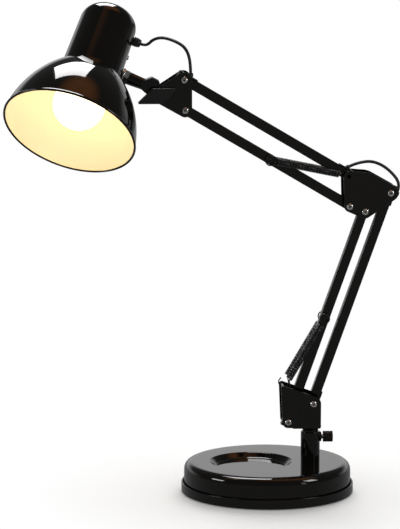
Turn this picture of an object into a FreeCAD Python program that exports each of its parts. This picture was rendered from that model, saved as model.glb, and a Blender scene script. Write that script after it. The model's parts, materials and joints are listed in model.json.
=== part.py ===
import FreeCAD, Part
import math
import os
import Sketcher

# Spring-balanced desk lamp: a round weighted base with a dish, a post, a swivelling shoulder bracket,
# two arms that are each a parallelogram of square tubes, and a bell shade on a short tilting stem.
#
# Millimetres. The origin is on the desk under the middle of the base, +Z is up, and the arms lie in
# the XZ plane with the post on the +X side of the base and the shade out over -X.


# ---------------------------------------------------------------------------------------------
# Driving dimensions
# ---------------------------------------------------------------------------------------------

SIZES = {
    # round base: a tray, a pressed shell that stands in it, and the iron weight between them
    "pad_thick": 0.8,
    "pad_radius": 84.0,
    "tray_radius": 92.5,
    "tray_height": 10.8,
    "tray_wall": 1.4,
    "shell_radius": 89.6,
    "shell_top": 32.8,
    "shell_round": 8.2,
    "shell_wall": 1.2,
    "dish_offset": 17.5,
    "dish_radius": 44.2,
    "dish_floor_radius": 38.5,
    "dish_depth": 5.6,
    "weight_radius": 84.0,
    "weight_top": 24.0,
    "weight_screw_circle": 62.0,
    "tray_screw_radius": 1.7,
    "tray_screw_head": 3.4,
    "tray_screw_sink": 1.2,
    "tray_screw_length": 11.0,
    # post and its clamp screw
    "post_x": 46.5,
    "post_radius": 10.3,
    "post_wall": 1.8,
    "post_top": 65.0,
    "post_floor": 36.0,
    "stud_radius": 6.0,
    "stud_bottom": 3.4,
    "post_nut_across": 19.0,
    "post_nut_height": 5.0,
    "post_washer_radius": 13.0,
    "post_washer_thick": 1.6,
    "nut_pocket_radius": 15.0,
    "nut_pocket_top": 10.2,
    "boss_radius": 5.3,
    "boss_reach": 1.5,
    "clamp_height": 58.9,
    "clamp_screw_radius": 2.5,
    "knob_radius": 5.8,
    "knob_length": 9.2,
    "knob_stand_off": 4.0,
    "knob_flute_radius": 0.45,
    "knob_flutes": 24,
    # square tubes, their bolts, and the plates that hold them
    "tube_side": 10.4,
    "tube_wall": 0.8,
    "tube_overrun": 6.5,
    "plate_inner": 14.2,
    "plate_thick": 1.2,
    "bolt_radius": 2.0,
    "bolt_head_radius": 4.0,
    "bolt_head_height": 2.4,
    "bolt_tail": 0.6,
    "nut_across": 7.0,
    "nut_height": 3.2,
    "spacer_radius": 3.5,
    "spring_spacer_radius": 2.5,
    "run_clearance": 0.05,
    "side_clearance": 0.1,
    # shoulder bracket: pivots of the two lower tubes, counted from the post's centre line
    "shoulder_lower_x": -25.2,
    "shoulder_lower_z": 77.6,
    "pivot_step_x": 27.1,
    "pivot_step_z": 19.7,
    "shoulder_lower_round": 6.2,
    "shoulder_upper_round": 8.2,
    "shoulder_corner_x": 8.5,
    "shoulder_corner_round": 1.5,
    "shoulder_floor": 70.5,
    "shoulder_floor_start": -20.0,
    "anchor_x": -30.0,
    "anchor_z": 114.3,
    "anchor_round": 3.0,
    "anchor_radius": 1.5,
    "spigot_clearance": 0.06,
    "spigot_collar_radius": 12.0,
    "spigot_collar_start": 66.0,
    "spigot_rivet_radius": 4.0,
    "spigot_rivet_height": 1.6,
    # lower arm: length between pivots and lean from upright
    "lower_length": 240.7,
    "lower_lean": 19.57,
    "lower_pin_reach": 120.4,
    # elbow plates: pivots of the two upper tubes, counted from the lower arm's top pivot
    "elbow_inner_x": -16.3,
    "elbow_inner_z": 5.6,
    "upper_step_x": -1.0,
    "upper_step_z": 31.9,
    "elbow_b_round": 7.3,
    "elbow_c_round": 8.5,
    "elbow_hump_x": -0.5,
    "elbow_hump_z": 20.6,
    "elbow_hump_round": 21.3,
    "elbow_f_round": 5.8,
    "elbow_a_round": 5.9,
    # upper arm: length between pivots and rise from level
    "upper_length": 202.5,
    "upper_rise": 30.5,
    "upper_pin_reach": 99.5,
    "upper_pin_drop": 1.5,
    # head plates and the wing knob that clamps the stem's knuckle between them
    "head_e_round": 7.4,
    "head_d_round": 8.4,
    "head_t_round": 6.5,
    "tilt_x": -29.6,
    "tilt_z": 15.5,
    "tilt_bolt_radius": 2.5,
    "wing_reach": 18.6,
    "wing_drop": 6.8,
    "wing_shoulder": 4.6,
    "wing_round": 1.3,
    "wing_thick": 7.0,
    "wing_hub_radius": 6.6,
    "wing_gap": 0.8,
    # stem: its slope, where its line passes above the tilt bolt, and where it meets the neck
    "stem_slope": 21.9,
    "stem_rise": 5.6,
    "stem_length": 60.4,
    "stem_root_radius": 6.9,
    "stem_tip_radius": 6.2,
    "stem_thread_radius": 4.0,
    "knuckle_half_width": 9.0,
    "knuckle_hub_radius": 5.5,
    "knuckle_lobe": 6.8,
    "knuckle_lobe_x": -9.9,
    "knuckle_corner": 2.0,
    "washer_radius": 8.5,
    "washer_thick": 2.0,
    "locknut_across": 14.5,
    "locknut_height": 5.0,
    # head, turned about the stem; heights are counted along the shade's axis from the stem's line
    "head_turn": 36.7,
    "neck_base": -14.5,
    "neck_base_radius": 31.8,
    "neck_shoulder": 51.7,
    "neck_shoulder_radius": 30.4,
    "neck_wall": 1.2,
    "dome_height": 22.0,
    "dome_corner": 17.0,
    "shade_rim": -88.9,
    "shade_rim_radius": 71.8,
    "shade_seat_radius": 34.6,
    "shade_step": 1.8,
    "shade_wall": 1.0,
    "shade_bow": 125.0,
    "rim_bead": 1.3,
    "holder_radius": 19.5,
    "holder_bore": 13.7,
    "holder_mouth": 17.5,
    "holder_flange": 24.5,
    "holder_flange_thick": 2.0,
    "holder_top": 30.0,
    "holder_skirt": 6.5,
    "ring_radius": 25.0,
    "ring_height": 5.0,
    "bulb_centre": -52.4,
    "bulb_radius": 27.5,
    "bulb_wall": 0.8,
    "bulb_neck_radius": 12.6,
    "bulb_cap_radius": 13.2,
    "bulb_cap_base": -9.0,
    "bulb_cap_length": 26.0,
    "bulb_contact_radius": 4.5,
    "neck_screw_height": 23.5,
    "neck_screw_radius": 1.5,
    "neck_screw_head": 2.8,
    "gland_height": 46.0,
    "gland_radius": 5.0,
    "gland_bore": 1.8,
    "gland_length": 8.5,
    # springs: one wire each, closely wound, with a loop at each end
    "spring_offset": 9.9,
    "spring_wire": 1.0,
    "spring_coil": 3.0,
    "spring_loop": 3.9,
    "anchor_loop": 5.5,
    "spring_turns": 24,
    "pin_radius": 2.0,
    "pin_half_length": 12.4,
    "pin_head_radius": 2.9,
    "pin_head_thick": 1.1,
    # covered lamp cord and the guides that take it into the tubes
    "cord_radius": 1.7,
    "cord_clearance": 0.1,
    "cord_entry": 5.0,
    "guide_reach": 14.0,
    "guide_thick": 1.3,
    "guide_cap": 1.5,
    "port_radius": 2.7,
    "port_lift": 28.0,
}

doc = FreeCAD.newDocument("desk_lamp")
sheet = doc.addObject("Spreadsheet::Sheet", "sizes")
for row, (size_name, number) in enumerate(SIZES.items(), start=1):
    sheet.set(f"A{row}", str(number))
    sheet.setAlias(f"A{row}", size_name)
doc.recompute()


class Size:
    """A length, angle or ratio that keeps both its number and the formula that gives it."""

    def __init__(self, number, formula):
        self.number = number
        self.formula = formula

    def _join(self, other, sign, number):
        return Size(number, f"({self.formula} {sign} {as_size(other).formula})")

    def __add__(self, other):
        return self._join(other, "+", self.number + as_size(other).number)

    def __radd__(self, other):
        return as_size(other) + self

    def __sub__(self, other):
        return self._join(other, "-", self.number - as_size(other).number)

    def __rsub__(self, other):
        return as_size(other) - self

    def __mul__(self, other):
        return self._join(other, "*", self.number * as_size(other).number)

    def __rmul__(self, other):
        return as_size(other) * self

    def __truediv__(self, other):
        return self._join(other, "/", self.number / as_size(other).number)

    def __neg__(self):
        return as_size(0) - self


def as_size(amount):
    return amount if isinstance(amount, Size) else Size(float(amount), repr(float(amount)))


def size(name):
    return Size(float(sheet.get(name)), f"sizes.{name}")


def sin_of(angle):
    return Size(math.sin(math.radians(angle.number)), f"sin({angle.formula})")


def cos_of(angle):
    return Size(math.cos(math.radians(angle.number)), f"cos({angle.formula})")


def root_of(amount):
    return Size(math.sqrt(amount.number), f"sqrt({amount.formula})")


# ---------------------------------------------------------------------------------------------
# Ways of making pieces
# ---------------------------------------------------------------------------------------------

UPRIGHT = "rotationx(0)"
ALONG_Y = "rotationx(-90)"
ALONG_X = "rotationy(90)"
ORIGIN = (0, 0, 0)
nodes = {}


def place(thing, base, turn=UPRIGHT):
    """Puts a piece at base, after a turn about its own origin."""
    x, y, z = (as_size(amount).formula for amount in base)
    thing.setExpression("Placement", f"placement(vector({x}; {y}; {z}); {turn})")
    return thing


def bind(thing, **amounts):
    for name, amount in amounts.items():
        thing.setExpression(name, as_size(amount).formula)
    return thing


def cylinder(name, radius, height, base=ORIGIN, turn=UPRIGHT):
    return place(bind(doc.addObject("Part::Cylinder", name), Radius=radius, Height=height), base, turn)


def cone(name, low_radius, high_radius, height, base=ORIGIN, turn=UPRIGHT):
    made = bind(doc.addObject("Part::Cone", name), Radius1=low_radius, Radius2=high_radius, Height=height)
    return place(made, base, turn)


def box(name, length, width, height, base=ORIGIN, turn=UPRIGHT):
    made = bind(doc.addObject("Part::Box", name), Length=length, Width=width, Height=height)
    return place(made, base, turn)


def hexagon(name, across, height, base=ORIGIN, turn=UPRIGHT):
    made = doc.addObject("Part::Prism", name)
    made.Polygon = 6
    bind(made, Circumradius=across / root_of(as_size(3)), Height=height)
    return place(made, base, turn)


def fuse(name, *pieces):
    made = doc.addObject("Part::MultiFuse", name)
    made.Shapes = list(pieces)
    return made


def cut(name, body, *tools):
    made = doc.addObject("Part::Cut", name)
    made.Base = body
    made.Tool = tools[0] if len(tools) == 1 else fuse(name + "_tools", *tools)
    return made


def group(name, *pieces):
    made = doc.addObject("Part::Compound", name)
    made.Links = list(pieces)
    return made


def node(name, made):
    made.Label = name
    nodes[name] = made
    return made


def spot(sketch, geometry, end, x, y):
    """Fixes one point of a sketch at x, y."""
    for kind, axis, amount in (("DistanceX", -2, as_size(x)), ("DistanceY", -1, as_size(y))):
        if amount.number == 0:
            sketch.addConstraint(Sketcher.Constraint("PointOnObject", geometry, end, axis))
            continue
        index = sketch.addConstraint(Sketcher.Constraint(kind, -1, 1, geometry, end, amount.number))
        sketch.setExpression(f"Constraints[{index}]", amount.formula)


def fix_radius(sketch, geometry, radius):
    index = sketch.addConstraint(Sketcher.Constraint("Radius", geometry, radius.number))
    sketch.setExpression(f"Constraints[{index}]", radius.formula)


def vector(x, y):
    return FreeCAD.Vector(as_size(x).number, as_size(y).number, 0)


def profile(sketch, corners):
    """Draws a closed outline. A corner is (x, y) or (x, y, radius), where the radius bends the stretch
    to the next corner: above 0 it turns left on the way, and below 0 right."""
    ends = []
    for corner, following in zip(corners, corners[1:] + corners[:1]):
        start, finish = vector(*corner[:2]), vector(*following[:2])
        if len(corner) == 2:
            ends.append((sketch.addGeometry(Part.LineSegment(start, finish)), 1, 2))
            continue
        radius = corner[2]
        left_turn = radius.number > 0
        half = (finish - start) * 0.5
        depth = math.sqrt(radius.number**2 - half.Length**2)
        side = FreeCAD.Vector(-half.y, half.x, 0).normalize() * (1 if left_turn else -1)
        centre = start + half + side * depth
        first, last = (start, finish) if left_turn else (finish, start)
        angles = [math.atan2(point.y - centre.y, point.x - centre.x) for point in (first, last)]
        circle = Part.Circle(centre, FreeCAD.Vector(0, 0, 1), abs(radius.number))
        arc = sketch.addGeometry(Part.ArcOfCircle(circle, *angles))
        fix_radius(sketch, arc, radius if left_turn else -radius)
        ends.append((arc, 1, 2) if left_turn else (arc, 2, 1))
    for (geometry, start, _), (previous, _, finish), corner in zip(ends, ends[-1:] + ends[:-1], corners):
        sketch.addConstraint(Sketcher.Constraint("Coincident", previous, finish, geometry, start))
        spot(sketch, geometry, start, *corner[:2])


def hull(sketch, rounds):
    """Draws the outline of a plate stretched round some circles (x, y, radius), taken anticlockwise."""
    count = len(rounds)
    normals = []
    for (x, y, radius), (next_x, next_y, next_radius) in zip(rounds, rounds[1:] + rounds[:1]):
        way = vector(next_x, next_y) - vector(x, y)
        tilt = (as_size(radius).number - as_size(next_radius).number) / way.Length
        way.normalize()
        outward = FreeCAD.Vector(way.y, -way.x, 0)
        normals.append(way * tilt + outward * math.sqrt(1 - tilt**2))
    arcs = []
    lines = []
    for index, (x, y, radius) in enumerate(rounds):
        arrive, leave = normals[index - 1], normals[index]
        circle = Part.Circle(vector(x, y), FreeCAD.Vector(0, 0, 1), as_size(radius).number)
        angles = [math.atan2(normal.y, normal.x) for normal in (arrive, leave)]
        arcs.append(sketch.addGeometry(Part.ArcOfCircle(circle, *angles)))
        next_x, next_y, next_radius = rounds[(index + 1) % count]
        start = vector(x, y) + leave * as_size(radius).number
        finish = vector(next_x, next_y) + leave * as_size(next_radius).number
        lines.append(sketch.addGeometry(Part.LineSegment(start, finish)))
    for index, (x, y, radius) in enumerate(rounds):
        spot(sketch, arcs[index], 3, x, y)
        fix_radius(sketch, arcs[index], as_size(radius))
        sketch.addConstraint(Sketcher.Constraint("Tangent", arcs[index], 2, lines[index], 1))
        following = arcs[(index + 1) % count]
        sketch.addConstraint(Sketcher.Constraint("Tangent", lines[index], 2, following, 1))


def hole(sketch, x, y, radius):
    circle = Part.Circle(vector(x, y), FreeCAD.Vector(0, 0, 1), as_size(radius).number)
    geometry = sketch.addGeometry(circle)
    spot(sketch, geometry, 3, x, y)
    fix_radius(sketch, geometry, as_size(radius))


def sketch_on(body, role):
    """A sketch on one of the body's own origin planes."""
    plane = next(feature for feature in body.Origin.OriginFeatures if feature.Role == role)
    sketch = body.newObject("Sketcher::SketchObject", body.Name + "_outline")
    sketch.AttachmentSupport = (plane, [""])
    sketch.MapMode = "FlatFace"
    return sketch


def turned(name, corners, base=ORIGIN, turn=UPRIGHT):
    """A round piece, turned about its own Z axis from an outline of (radius, height) corners."""
    body = place(doc.addObject("PartDesign::Body", name), base, turn)
    sketch = sketch_on(body, "XZ_Plane")
    profile(sketch, corners)
    spun = body.newObject("PartDesign::Revolution", name + "_turned")
    spun.Profile = sketch
    spun.ReferenceAxis = (sketch, ["V_Axis"])
    spun.Angle = 360
    return body


def plate(name, rounds, thick, far_side, holes=()):
    """A flat plate in an XZ plane. It lies between far_side and far_side - thick along Y."""
    body = place(doc.addObject("PartDesign::Body", name), (0, far_side, 0))
    sketch = sketch_on(body, "XZ_Plane")
    hull(sketch, rounds)
    for x, z, radius in holes:
        hole(sketch, x, z, radius)
    pad = body.newObject("PartDesign::Pad", name + "_pad")
    pad.Profile = sketch
    bind(pad, Length=thick)
    return body


# ---------------------------------------------------------------------------------------------
# Where the pivots are
# ---------------------------------------------------------------------------------------------

post_x = size("post_x")
lower_lean, lower_length = size("lower_lean"), size("lower_length")
upper_rise, upper_length = size("upper_rise"), size("upper_length")
pivot_h = (post_x + size("shoulder_lower_x"), size("shoulder_lower_z"))
pivot_g = (pivot_h[0] + size("pivot_step_x"), pivot_h[1] + size("pivot_step_z"))
lower_way = (sin_of(lower_lean), cos_of(lower_lean))
pivot_b = (pivot_h[0] + lower_length * lower_way[0], pivot_h[1] + lower_length * lower_way[1])
pivot_c = (pivot_b[0] + size("pivot_step_x"), pivot_b[1] + size("pivot_step_z"))
pivot_a = (pivot_b[0] + size("elbow_inner_x"), pivot_b[1] + size("elbow_inner_z"))
pivot_f = (pivot_a[0] + size("upper_step_x"), pivot_a[1] + size("upper_step_z"))
upper_way = (-cos_of(upper_rise), sin_of(upper_rise))
pivot_e = (pivot_a[0] + upper_length * upper_way[0], pivot_a[1] + upper_length * upper_way[1])
pivot_d = (pivot_e[0] + size("upper_step_x"), pivot_e[1] + size("upper_step_z"))
pivot_t = (pivot_e[0] + size("tilt_x"), pivot_e[1] + size("tilt_z"))
anchor = (post_x + size("anchor_x"), size("anchor_z"))
lower_pin_reach = size("lower_pin_reach")
lower_pin = (pivot_h[0] + lower_pin_reach * lower_way[0], pivot_h[1] + lower_pin_reach * lower_way[1])
upper_pin_reach, upper_pin_drop = size("upper_pin_reach"), size("upper_pin_drop")
upper_pin = (
    pivot_a[0] + upper_pin_reach * upper_way[0] - upper_pin_drop * upper_way[1],
    pivot_a[1] + upper_pin_reach * upper_way[1] + upper_pin_drop * upper_way[0],
)
LEAN = f"rotationy({lower_lean.formula})"
RISE = f"rotationy({upper_rise.formula} - 90)"

plate_inner, plate_thick = size("plate_inner"), size("plate_thick")
plate_outer = plate_inner + plate_thick
run_clearance, side_clearance = size("run_clearance"), size("side_clearance")
tube_side, tube_wall, tube_overrun = size("tube_side"), size("tube_wall"), size("tube_overrun")
half_tube = tube_side / 2
bolt_radius = size("bolt_radius")
bolt_hole = bolt_radius + run_clearance


# ---------------------------------------------------------------------------------------------
# Base: pad, tray, weight, shell and the screws that hold them
# ---------------------------------------------------------------------------------------------

pad_thick = size("pad_thick")
tray_wall, tray_radius = size("tray_wall"), size("tray_radius")
shell_radius, shell_top = size("shell_radius"), size("shell_top")
shell_round, shell_wall = size("shell_round"), size("shell_wall")
stud_radius = size("stud_radius")
stud_hole = stud_radius + side_clearance
dish_x = -size("dish_offset")
dish_depth = size("dish_depth")
weight_bottom = pad_thick + tray_wall


def quarter_spots(circle):
    """Four places on a circle about the base's middle."""
    places = []
    for angle in (0, 90, 180, 270):
        places.append((circle * cos_of(as_size(angle)), circle * sin_of(as_size(angle))))
    return places


node("base_pad", cylinder("base_pad", size("pad_radius"), pad_thick))

screw_radius, screw_head = size("tray_screw_radius"), size("tray_screw_head")
screw_sink, screw_length = size("tray_screw_sink"), size("tray_screw_length")
hole_radius = screw_radius + run_clearance
screw_spots = quarter_spots(size("weight_screw_circle"))
screws = []
screw_sinks = []
screw_holes = []
for index, (x, y) in enumerate(screw_spots):
    base = (x, y, pad_thick)
    head = cone(f"tray_screw_head_{index}", screw_head, screw_radius, screw_sink, base)
    shank = cylinder(f"tray_screw_shank_{index}", screw_radius, screw_length, base)
    screws.append(fuse(f"tray_screw_{index}", head, shank))
    sink = (screw_head + run_clearance, hole_radius, screw_sink)
    screw_sinks.append(cone(f"tray_screw_sink_{index}", *sink, base))
    screw_holes.append(cylinder(f"tray_screw_hole_{index}", hole_radius, screw_length, base))
node("tray_screws", group("tray_screws", *screws))

tray_top = size("tray_height")
tray_disc = turned("tray_disc", [
    (0, pad_thick), (tray_radius, pad_thick), (tray_radius, tray_top),
    (tray_radius - tray_wall, tray_top), (tray_radius - tray_wall, weight_bottom), (0, weight_bottom),
])
node("base_tray", cut("base_tray", tray_disc, *screw_sinks, *screw_holes))

weight_disc = turned("weight_disc", [
    (0, weight_bottom), (size("weight_radius"), weight_bottom), (size("weight_radius"), size("weight_top")),
    (0, size("weight_top")),
])
boss_height = shell_top - shell_wall - size("weight_top")
weight_boss = cylinder("weight_boss", size("nut_pocket_radius"), boss_height, (post_x, 0, size("weight_top")))
nut_pocket_depth = size("nut_pocket_top") - weight_bottom
nut_pocket = cylinder("nut_pocket", size("nut_pocket_radius"), nut_pocket_depth, (post_x, 0, weight_bottom))
stud_bore = cylinder("stud_bore", stud_hole, shell_top, (post_x, 0, weight_bottom))
weight_holes = []
for index, (x, y) in enumerate(screw_spots):
    base = (x, y, weight_bottom)
    weight_holes.append(cylinder(f"weight_hole_{index}", hole_radius, screw_length - tray_wall, base))
weight_body = fuse("weight_body", weight_disc, weight_boss)
node("base_weight", cut("base_weight", weight_body, nut_pocket, stud_bore, *weight_holes))

shell_skin = turned("shell_skin", [
    (shell_radius - shell_wall, weight_bottom),
    (shell_radius, weight_bottom),
    (shell_radius, shell_top - shell_round, shell_round),
    (shell_radius - shell_round, shell_top),
    (0, shell_top),
    (0, shell_top - shell_wall),
    (shell_radius - shell_round, shell_top - shell_wall, shell_wall - shell_round),
    (shell_radius - shell_wall, shell_top - shell_round),
])
dish_floor, dish_rim = size("dish_floor_radius"), size("dish_radius")
pan_base = (dish_x, 0, shell_top - dish_depth - shell_wall)
pan = cone("dish_pan", dish_floor + shell_wall, dish_rim + shell_wall, dish_depth + shell_wall, pan_base)
hollow = cone("dish_hollow", dish_floor, dish_rim, dish_depth, (dish_x, 0, shell_top - dish_depth))
shell_hole = cylinder("shell_hole", stud_hole, shell_wall, (post_x, 0, shell_top - shell_wall))
node("base_shell", cut("base_shell", fuse("shell_and_pan", shell_skin, pan), hollow, shell_hole))


# ---------------------------------------------------------------------------------------------
# Post: tube with a stud, nut and washer under the weight, and the clamp screw in its boss
# ---------------------------------------------------------------------------------------------

post_radius, post_top, post_floor = size("post_radius"), size("post_top"), size("post_floor")
post_bore = post_radius - size("post_wall")
clamp_height, clamp_radius = size("clamp_height"), size("clamp_screw_radius")
clamp_line = (post_x, 0, clamp_height)
stud_bottom = size("stud_bottom")
post_blank = turned("post_blank", [
    (0, stud_bottom), (stud_radius, stud_bottom), (stud_radius, shell_top), (post_radius, shell_top),
    (post_radius, post_top), (post_bore, post_top), (post_bore, post_floor), (0, post_floor),
], (post_x, 0, 0))
clamp_bore = cylinder("clamp_bore", clamp_radius + run_clearance, post_radius * 2, clamp_line, ALONG_X)
node("post_tube", cut("post_tube", post_blank, clamp_bore))

post_washer_thick = size("post_washer_thick")
washer_base = (post_x, 0, size("nut_pocket_top") - post_washer_thick)
post_washer = cylinder("post_washer_disc", size("post_washer_radius"), post_washer_thick, washer_base)
washer_hole = cylinder("post_washer_hole", stud_hole, post_washer_thick, washer_base)
node("post_washer", cut("post_washer", post_washer, washer_hole))
nut_base = (post_x, 0, washer_base[2] - size("post_nut_height"))
post_nut = hexagon("post_nut_hex", size("post_nut_across"), size("post_nut_height"), nut_base)
nut_hole = cylinder("post_nut_hole", stud_radius + run_clearance, size("post_nut_height"), nut_base)
node("post_nut", cut("post_nut", post_nut, nut_hole))

boss_end = post_radius + size("boss_reach")
boss_blank = cylinder("boss_blank", size("boss_radius"), boss_end, clamp_line, ALONG_X)
boss_saddle = cylinder("boss_saddle", post_radius, post_top, (post_x, 0, 0))
boss_bore = cylinder("boss_bore", clamp_radius + run_clearance, boss_end, clamp_line, ALONG_X)
node("post_boss", cut("post_boss", boss_blank, boss_saddle, boss_bore))

spigot_radius = post_bore - size("spigot_clearance")
screw_tip = spigot_radius + run_clearance
knob_start = post_radius + size("knob_stand_off")
knob_radius, knob_length = size("knob_radius"), size("knob_length")
screw_end = knob_start + knob_length / 2
screw_base = (post_x + screw_tip, 0, clamp_height)
node("clamp_screw", cylinder("clamp_screw", clamp_radius, screw_end - screw_tip, screw_base, ALONG_X))

knob_base = (post_x + knob_start, 0, clamp_height)
knob_body = place(doc.addObject("PartDesign::Body", "knob_body"), knob_base, ALONG_X)
knob_sketch = sketch_on(knob_body, "XY_Plane")
hole(knob_sketch, 0, 0, knob_radius)
knob_pad = knob_body.newObject("PartDesign::Pad", "knob_pad")
knob_pad.Profile = knob_sketch
bind(knob_pad, Length=knob_length)
flute_sketch = sketch_on(knob_body, "XY_Plane")
hole(flute_sketch, knob_radius, 0, size("knob_flute_radius"))
flute = knob_body.newObject("PartDesign::Pocket", "knob_flute")
flute.Profile = flute_sketch
flute.Reversed = True
bind(flute, Length=knob_length)
doc.recompute()
flutes = knob_body.newObject("PartDesign::PolarPattern", "knob_flutes")
flutes.Originals = [flute]
flutes.Axis = (knob_sketch, ["N_Axis"])
flutes.Angle = 360
bind(flutes, Occurrences=size("knob_flutes"))
knob_body.Tip = flutes
knob_hole = cylinder("knob_hole", clamp_radius + run_clearance, knob_length / 2, knob_base, ALONG_X)
node("clamp_knob", cut("clamp_knob", knob_body, knob_hole))


# ---------------------------------------------------------------------------------------------
# Bolts, nuts and spacers at the pivots
# ---------------------------------------------------------------------------------------------

def bolt(name, pivot, radius=bolt_radius, head_radius=size("bolt_head_radius")):
    """A pan-head screw across both plates, with its head on the near side."""
    head_height = size("bolt_head_height")
    reach = plate_outer * 2 + size("nut_height") + size("bolt_tail")
    shank = cylinder(name + "_shank", radius, reach, (pivot[0], -plate_outer, pivot[1]), ALONG_Y)
    head_base = (pivot[0], -plate_outer - head_height, pivot[1])
    head = cone(name + "_head", head_radius - head_height / 3, head_radius, head_height, head_base, ALONG_Y)
    return fuse(name, shank, head)


def nut(name, pivot, radius=bolt_radius, across=size("nut_across")):
    """A hexagon nut on the far side of the plates."""
    base = (pivot[0], plate_outer, pivot[1])
    solid = hexagon(name + "_hex", across, size("nut_height"), base, ALONG_Y)
    bore = cylinder(name + "_bore", radius + run_clearance, size("nut_height"), base, ALONG_Y)
    return cut(name, solid, bore)


def spacers(name, pivot, radius):
    """Two tubes on the bolt that keep the square tube in the middle between the plates."""
    start = half_tube + side_clearance
    length = plate_inner - side_clearance - start
    made = []
    for side, y in (("near", -start - length), ("far", start)):
        base = (pivot[0], y, pivot[1])
        blank = cylinder(f"{name}_{side}_blank", radius, length, base, ALONG_Y)
        bore = cylinder(f"{name}_{side}_bore", bolt_hole, length, base, ALONG_Y)
        made.append(cut(f"{name}_{side}", blank, bore))
    return made


def rivet(name, pivot):
    """A rivet that is flush with the near plate and has its head on the far one."""
    reach, head_height = plate_outer * 2, size("bolt_head_height")
    shank = cylinder(name + "_shank", bolt_radius, reach, (pivot[0], -plate_outer, pivot[1]), ALONG_Y)
    head_radius = size("bolt_head_radius")
    head_base = (pivot[0], plate_outer, pivot[1])
    head = cone(name + "_head", head_radius, head_radius - head_height / 2, head_height, head_base, ALONG_Y)
    return fuse(name, shank, head)


def pivot_set(prefix, pivots, spacer_radii, riveted=()):
    """The bolts, nuts and spacers of one bracket, each kind as one node."""
    bolted = {name: pivot for name, pivot in pivots.items() if name not in riveted}
    bolts = [bolt(f"{prefix}_bolt_{name}", pivot) for name, pivot in bolted.items()]
    nuts = [nut(f"{prefix}_nut_{name}", pivot) for name, pivot in bolted.items()]
    sleeves = []
    for name, pivot in pivots.items():
        sleeves += spacers(f"{prefix}_spacer_{name}", pivot, spacer_radii[name])
    node(f"{prefix}_bolts", group(f"{prefix}_bolts", *bolts))
    node(f"{prefix}_nuts", group(f"{prefix}_nuts", *nuts))
    node(f"{prefix}_spacers", group(f"{prefix}_spacers", *sleeves))


# ---------------------------------------------------------------------------------------------
# Shoulder bracket: two plates on a floor, on a spigot that turns in the post
# ---------------------------------------------------------------------------------------------

shoulder_floor = size("shoulder_floor")
corner_round = size("shoulder_corner_round")
anchor_radius = size("anchor_radius")
corner_x = post_x + size("shoulder_corner_x")
shoulder_rounds = [
    (corner_x, shoulder_floor + corner_round, corner_round),
    (*pivot_g, size("shoulder_upper_round")),
    (*anchor, size("anchor_round")),
    (*pivot_h, size("shoulder_lower_round")),
]
shoulder_holes = [(*pivot_h, bolt_hole), (*pivot_g, bolt_hole), (*anchor, anchor_radius + run_clearance)]
shoulder_near = plate("shoulder_near", shoulder_rounds, plate_thick, -plate_inner, shoulder_holes)
shoulder_far = plate("shoulder_far", shoulder_rounds, plate_thick, plate_outer, shoulder_holes)
floor_start = post_x + size("shoulder_floor_start")
floor_base = (floor_start, -plate_outer, shoulder_floor)
floor_blank = box("shoulder_floor", corner_x - floor_start, plate_outer * 2, plate_thick, floor_base)
rivet_radius = size("spigot_rivet_radius")
rivet_hole = cylinder("rivet_hole", rivet_radius + run_clearance, plate_thick, (post_x, 0, shoulder_floor))
shoulder_blank = fuse("shoulder_blank", shoulder_near, shoulder_far, floor_blank)
node("shoulder_bracket", cut("shoulder_bracket", shoulder_blank, rivet_hole))

collar_radius, collar_start = size("spigot_collar_radius"), size("spigot_collar_start")
collar_height = shoulder_floor - collar_start
collar_width = collar_radius - spigot_radius
collar_bow = (collar_width * collar_width + collar_height * collar_height) / collar_width / 2
rivet_foot = shoulder_floor + plate_thick
rivet_top = rivet_foot + size("spigot_rivet_height")
node("swivel_spigot", turned("swivel_spigot", [
    (0, post_floor + run_clearance),
    (spigot_radius, post_floor + run_clearance),
    (spigot_radius, collar_start, -collar_bow),
    (collar_radius, shoulder_floor),
    (rivet_radius, shoulder_floor),
    (rivet_radius, rivet_foot),
    (rivet_radius + size("spigot_rivet_height"), rivet_foot),
    (rivet_radius, rivet_top),
    (0, rivet_top),
], (post_x, 0, 0)))

anchor_length = plate_outer * 2 + plate_thick * 2
anchor_base = (anchor[0], -plate_outer - plate_thick, anchor[1])
node("spring_anchor_pin", cylinder("spring_anchor_pin", anchor_radius, anchor_length, anchor_base, ALONG_Y))
plain = size("spacer_radius")
pivot_set("shoulder", {"h": pivot_h, "g": pivot_g}, {"h": plain, "g": plain})


# ---------------------------------------------------------------------------------------------
# Arms: square tubes, spring pins and cord guides
# ---------------------------------------------------------------------------------------------

def square_tube(name, length, foot, turn, cross_holes):
    """A square tube on a line between two pivots. cross_holes are (reach, side step, radius)."""
    outer = box(
        name + "_outer", tube_side, tube_side, length + tube_overrun * 2,
        (-half_tube, -half_tube, -tube_overrun),
    )
    inner_side = tube_side - tube_wall * 2
    inner_start = tube_wall - half_tube
    inner = box(
        name + "_inner", inner_side, inner_side, length + tube_overrun * 2,
        (inner_start, inner_start, -tube_overrun),
    )
    tools = [inner]
    for index, (reach, step, radius) in enumerate(cross_holes):
        base = (step, -half_tube, reach)
        tools.append(cylinder(f"{name}_hole_{index}", radius, tube_side, base, ALONG_Y))
    return place(cut(name, outer, *tools), (foot[0], 0, foot[1]), turn)


def spring_pin(name, centre):
    """A pin through a tube, with a head at each end that keeps the spring loops on."""
    half, head_thick = size("pin_half_length"), size("pin_head_thick")
    head_radius = size("pin_head_radius")
    pieces = [cylinder(name + "_shank", size("pin_radius"), half * 2, (centre[0], -half, centre[1]), ALONG_Y)]
    for side, y in (("near", -half), ("far", half - head_thick)):
        base = (centre[0], y, centre[1])
        pieces.append(cylinder(f"{name}_{side}", head_radius, head_thick, base, ALONG_Y))
    return node(name, fuse(name, *pieces))


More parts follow.
